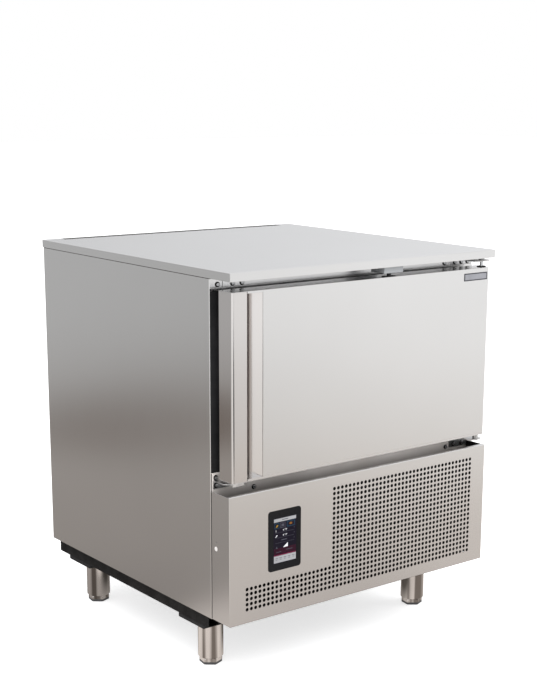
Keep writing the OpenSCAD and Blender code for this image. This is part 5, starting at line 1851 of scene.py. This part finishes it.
@dataclass
class Undercarriage:
    """Chassis, the blocks under it, four legs and their screwed feet.

    Attributes:
        leg_r: radius of a leg.
        chamfer: chamfer at its lower end.
        bore_r: radius of its bore for the foot.
        insert: depth of the bore.
        hex_r: radius of a foot's hexagon, out to its corners.
        screwed: degrees that the hexagon is turned by.
        stem_r: radius over the stem's thread.
        thread_pitch: rise of the thread in one turn.
        thread_depth: its depth.
    """

    leg_r: float = 30.0
    chamfer: float = 2.0
    bore_r: float = 10.05
    insert: float = 22.0
    hex_r: float = 27.5
    screwed: float = 21.5
    stem_r: float = 9.9
    thread_pitch: float = 2.5
    thread_depth: float = 0.9

    def build(self) -> None:
        """Builds and dresses what the machine stands on."""
        refine("chassis", BLACK_PAINT, 0.6, flatten=False)
        refine("leg_blocks", BLACK_PLASTIC, 1.2)
        places = []
        for node in ("foot_front_left", "foot_front_right", "foot_rear_left", "foot_rear_right"):
            low, high = corners_of(node)
            places.append(((low[0] + high[0]) / 2, (low[1] + high[1]) / 2))
            self.foot(node, places[-1], high[2])
        self.legs(places)

    def legs(self, places: Sequence[tuple[float, float]]) -> None:
        """Four round legs, each a turned profile from its bore over the chamfer up to the block.

        Args:
            places: the legs' axes.
        """
        low, high = corners_of("legs")
        z0, z1, r = low[2], high[2], self.leg_r
        arc = quarter_round(0.6, 3)
        profile = np.array(
            [(self.bore_r, z0 + self.insert), (self.bore_r, z0 + 0.5), (self.bore_r + 0.5, z0)]
            + [(r - self.chamfer - 0.3, z0), (r - self.chamfer, z0 + 0.15)]
            + [(r - 0.2, z0 + self.chamfer - 0.1), (r, z0 + self.chamfer + 0.4)]
            + [(r - i, z1 - d) for i, d in arc[::-1]]
        )
        shells = [revolve(profile, (x, y, 0), sides=96) for x, y in places]
        Piece("leg_tubes", join(shells), [LEG_STEEL], ["legs"]).build()

    def foot(self, node: str, place: tuple[float, float], top: float) -> None:
        """Foot: a hexagon cut by cones at its top and bottom, with a threaded stem above.

        The hexagon's radius is its flat distance over the cosine of the angle from the nearest
        flat's middle. The foot's radius is the smaller of that and the cone's. The stem's radius
        falls and rises with a wave whose phase is height over pitch less the turn, which makes one
        helix.

        Args:
            node: the CAD foot.
            place: the leg's axis.
            top: height of the stem's end.
        """
        sides, pad_rows, collar_top = 72, 5, 15.7
        turn = np.linspace(0, 2 * np.pi, sides, endpoint=False)[None]
        from_flat = (turn - math.radians(self.screwed)) % (np.pi / 3) - np.pi / 6
        hexagon = self.hex_r * np.cos(np.pi / 6) / np.cos(from_flat)
        pad = [(20.0, 0.0), (26.4, 0.0), (27.0, 0.5), (27.2, 1.3), (27.2, 6.0)]
        nut = [(27.5, 6.4), (27.6, 6.8), (27.6, 7.2), (27.6, 13.9), (25.8, 14.9), (23.4, 15.6)]
        cone = np.array([*pad, *nut, (22.9, collar_top)])
        body = np.minimum(hexagon, cone[:, :1])
        body[:pad_rows] = hexagon * cone[:pad_rows, :1] / self.hex_r
        z_stem = np.arange(collar_top, top - 1.0, 0.42)[:, None]
        wave = 0.5 - 0.5 * np.cos(2 * np.pi * (z_stem / self.thread_pitch) - turn)
        stem = self.stem_r - self.thread_depth * wave * np.clip((z_stem - 18) / 4, 0, 1)
        end = np.array([[self.stem_r - 1.6], [self.stem_r - 2.2]]) + 0 * turn
        radius = np.vstack([body, stem, end])
        height = np.concatenate([cone[:, 1], z_stem[:, 0], [top - 0.3, top]])[:, None]
        x, y = place[0] + radius * np.cos(turn), place[1] + radius * np.sin(turn)
        shell = grid(np.stack([x, y, height + 0 * turn], -1), wrap_v=True, caps=True)
        shell.inks[: pad_rows * sides] = [1] * (pad_rows * sides)
        shell.inks[-2] = 1
        looks = [LEG_STEEL, FOOT_PAD]
        Piece(node + "_screwed", shell, looks, [node], weighted=False).build()


# ---------------------------------------------------------------- machine bay


@dataclass
class MachineBay:
    """Refrigeration machinery behind the perforated panel.

    Attributes:
        looks: each piece's node, its finish and the width of its rounded edges.
    """

    looks: tuple[tuple[str, Finish, float], ...] = (
        ("compressor", BLACK_PAINT, 0.8),
        ("compressor_mounts", GASKET, 0.5),
        ("condenser_coil", BLACK_PAINT, 0.0),
        ("condenser_cowl", BLACK_PAINT, 0.4),
        ("condenser_fan_motor", BLACK_PAINT, 0.5),
        ("liquid_receiver", BLACK_PAINT, 0.0),
        ("filter_drier", COPPER, 0.4),
        ("refrigerant_pipes", COPPER, 0.0),
        ("mains_inlet", BLACK_PLASTIC, 0.4),
    )

    def build(self) -> None:
        """Refines and dresses each machine, and builds the condenser's fan."""
        for node, look, bevel in self.looks:
            refine(node, look, bevel)
        rotor("condenser_fan", FINS)


# ---------------------------------------------------------------- studio


@dataclass(frozen=True)
class Shade:
    """A soft dark patch on the mirrored ground.

    Attributes:
        middle: its place in metres.
        full: distance from the middle within which it is full.
        end: distance at which it ends.
        keep: share of each colour that it leaves.
    """

    middle: tuple[float, float]
    full: float
    end: float
    keep: Colour


@dataclass
class Studio:
    """Pale floor, soft surroundings that the steel mirrors, two soft lights and the camera.

    Attributes:
        headings: strength of the surroundings by degrees round the horizon, from +X over +Y.
        ground: colour of the mirrored ground by metres from the machine; its dark middle paints the
            machine's shadow on the floor that the steel mirrors.
        reach: the last of those distances.
        shades: dark patches on the mirrored ground.
        horizon: colour of the surroundings at the horizon.
        zenith: their colour overhead.
        rise: heights of a ray between which the one goes over to the other.
        lights: each soft light's name, place, size and power.
        camera_at: the camera's place in metres, solved from the photograph's straight edges, like
            the four values below.
        heading: the way that it looks.
        roll_deg: its turn about that way.
        lens: its focal length in millimetres on a sensor 36 wide.
        shift: its shift in shares of the picture's longer side.
    """

    headings: tuple[tuple[float, float], ...] = (
        (-180.0, 1.02),
        (-135.0, 1.04),
        (-85.0, 0.92),
        (-66.0, 0.88),
        (-50.0, 1.0),
        (0.0, 1.0),
        (44.0, 0.92),
        (62.0, 0.69),
        (90.0, 0.58),
        (125.0, 0.48),
        (167.0, 0.47),
        (176.0, 0.90),
        (180.0, 1.02),
    )
    # The first two stops paint the machine's shadow under it.
    ground: tuple[tuple[float, Colour], ...] = (
        (0.0, (0.05, 0.045, 0.04)),
        (0.24, (0.09, 0.08, 0.07)),
        (0.40, (0.62, 0.57, 0.53)),
        (0.60, (0.60, 0.545, 0.51)),
        (1.0, (0.70, 0.64, 0.595)),
        (1.6, (0.73, 0.67, 0.625)),
        (2.0, (0.83, 0.78, 0.735)),
        (2.6, (0.86, 0.835, 0.81)),
        (4.1, (0.98, 0.97, 0.96)),
        (5.0, (1.06, 1.06, 1.06)),
    )
    reach: float = 5.0
    shades: tuple[Shade, ...] = (
        Shade((-1.70, 1.98), 0.32, 0.84, (0.47, 0.41, 0.375)),
        Shade((-0.80, -3.60), 1.2, 1.9, (0.12, 0.12, 0.12)),
    )
    horizon: Colour = (0.93, 0.94, 0.96)
    zenith: Colour = (0.99, 0.99, 1.0)
    rise: tuple[float, float] = (0.06, 0.7)
    lights: tuple[tuple[str, tuple[float, float, float], float, float], ...] = (
        ("key", (-1.6, -2.6, 3.2), 2.4, 55.0),
        ("fill", (2.8, -1.6, 2.2), 2.0, 28.0),
    )
    camera_at: tuple[float, float, float] = (-2.05997, -2.74879, 1.31333)
    heading: tuple[float, float, float] = (0.60615, 0.76317, -0.22395)
    roll_deg: float = 0.4314
    lens: float = 71.126
    shift: tuple[float, float] = (-0.04743, 0.08589)

    def build(self) -> None:
        """Builds the surroundings, the floor, the lights and the camera."""
        self.world()
        self.floor()
        for light in self.lights:
            self.softbox(*light)
        self.camera()
        settings = bpy.context.scene.view_settings
        settings.view_transform = "Standard"
        settings.look = "None"

    def around(self, tree: Tree, vector: Socket) -> Socket:
        """Strength of the surroundings by the heading of a vector.

        Args:
            tree: the node tree.
            vector: the vector.

        Returns:
            The socket of the strength, as a grey.
        """
        turn = tree.nodes.new("ShaderNodeTexGradient")
        turn.gradient_type = "RADIAL"
        tree.links.new(vector, turn.inputs["Vector"])
        stops = [((degrees + 180) / 360, (v, v, v)) for degrees, v in self.headings]
        return ramp(tree, turn.outputs["Fac"], stops)

    def world(self) -> None:
        """Surroundings: the horizon's colour by heading, rising to the zenith's."""
        world = bpy.data.worlds.new("studio")
        bpy.context.scene.world = world
        world.use_nodes = True
        tree = world.node_tree
        tree.nodes.clear()
        ray = tree.nodes.new("ShaderNodeTexCoord").outputs["Generated"]
        split = tree.nodes.new("ShaderNodeSeparateXYZ")
        tree.links.new(ray, split.inputs[0])
        low = vector_math(tree, "MULTIPLY", self.around(tree, ray), self.horizon)
        share = spread(tree, split.outputs["Z"], ends=self.rise, eased=True)
        mirrored = tree.nodes.new("ShaderNodeBackground")
        tree.links.new(blend(tree, share, low, self.zenith), mirrored.inputs["Color"])
        backdrop = tree.nodes.new("ShaderNodeBackground")
        backdrop.inputs["Color"].default_value = (1.0, 1.0, 1.0, 1.0)
        paths = tree.nodes.new("ShaderNodeLightPath")
        chosen = tree.nodes.new("ShaderNodeMixShader")
        tree.links.new(paths.outputs["Is Camera Ray"], chosen.inputs["Fac"])
        tree.links.new(mirrored.outputs["Background"], chosen.inputs[1])
        tree.links.new(backdrop.outputs["Background"], chosen.inputs[2])
        output = tree.nodes.new("ShaderNodeOutputWorld")
        tree.links.new(chosen.outputs["Shader"], output.inputs["Surface"])

    def floor(self) -> None:
        """Pale floor, and just under it the ground that the steel mirrors."""
        for name, size, height in (("floor", 30.0, 0.0), ("mirrored_ground", 12.0, -0.002)):
            mesh = bpy.data.meshes.new(name)
            corners = np.array([(-1, -1), (1, -1), (1, 1), (-1, 1)], float) * size
            mesh.from_pydata(Axis.Z.place(corners, height).tolist(), [], [(0, 1, 2, 3)])
            thing = bpy.data.objects.new(name, mesh)
            bpy.context.scene.collection.objects.link(thing)
            if name == "floor":
                mesh.materials.append(PALE_FLOOR.material())
                thing.visible_glossy = False
            else:
                mesh.materials.append(self.ground_light())
                thing.visible_camera = False
                thing.visible_diffuse = False
                thing.visible_shadow = False
                thing.visible_transmission = False

    def ground_light(self) -> bpy.types.Material:
        """Light of the mirrored ground: its colour by distance, times heading and shades.

        Returns:
            The material.
        """
        material = bpy.data.materials.new("mirrored_ground")
        material.use_nodes = True
        tree = material.node_tree
        tree.nodes.clear()
        place = tree.nodes.new("ShaderNodeTexCoord").outputs["Object"]
        share = tree.nodes.new("ShaderNodeMath")
        share.operation = "DIVIDE"
        tree.links.new(vector_math(tree, "LENGTH", place, output="Value"), share.inputs[0])
        share.inputs[1].default_value = self.reach
        stops = [(metres / self.reach, colour) for metres, colour in self.ground]
        colour = ramp(tree, share.outputs[0], stops)
        colour = vector_math(tree, "MULTIPLY", colour, self.around(tree, place))
        for shade in self.shades:
            away = vector_math(tree, "DISTANCE", place, (*shade.middle, 0.0), "Value")
            edge = spread(tree, away, ends=(shade.full, shade.end), eased=True)
            left = blend(tree, edge, shade.keep, (1.0, 1.0, 1.0))
            colour = vector_math(tree, "MULTIPLY", colour, left)
        light = tree.nodes.new("ShaderNodeEmission")
        tree.links.new(colour, light.inputs["Color"])
        output = tree.nodes.new("ShaderNodeOutputMaterial")
        tree.links.new(light.outputs["Emission"], output.inputs["Surface"])
        return material

    @staticmethod
    def softbox(name: str, place: Sequence[float], size: float, power: float) -> None:
        """Square area light that points at the machine's middle.

        Args:
            name: the light's name.
            place: its place in metres.
            size: the length of its side in metres.
            power: its power in watts.
        """
        light = bpy.data.lights.new(name, "AREA")
        light.size = size
        light.energy = power
        thing = bpy.data.objects.new(name, light)
        thing.location = place
        aim = Vector((0.0, 0.0, 0.5)) - Vector(place)
        thing.rotation_mode = "QUATERNION"
        thing.rotation_quaternion = aim.to_track_quat("-Z", "Y")
        thing.visible_camera = False
        thing.visible_glossy = False
        bpy.context.scene.collection.objects.link(thing)

    def camera(self) -> None:
        """Camera with its place, heading, roll, lens and shift."""
        lens = bpy.data.cameras.new("camera")
        lens.lens = self.lens
        lens.sensor_width = 36.0
        lens.sensor_fit = "AUTO"
        lens.shift_x, lens.shift_y = self.shift
        lens.clip_start, lens.clip_end = 0.05, 60.0
        thing = bpy.data.objects.new("camera", lens)
        ahead = Vector(self.heading).normalized()
        right = ahead.cross(Vector((0, 0, 1))).normalized()
        up = right.cross(ahead)
        roll = math.radians(self.roll_deg)
        across = right * math.cos(roll) + up * math.sin(roll)
        upright = up * math.cos(roll) - right * math.sin(roll)
        turn = Matrix((across, upright, -ahead)).transposed()
        thing.matrix_world = Matrix.Translation(self.camera_at) @ turn.to_4x4()
        bpy.context.scene.collection.objects.link(thing)
        bpy.context.scene.camera = thing


def main() -> None:
    """Builds the whole scene in order."""
    logging.basicConfig(level=logging.INFO, format="%(message)s")
    Cabinet().build()
    Door().build()
    Hinges().build()
    FrontPanel().build()
    Chamber().build()
    Undercarriage().build()
    MachineBay().build()
    Studio().build()


if __name__ == "__main__":
    main()
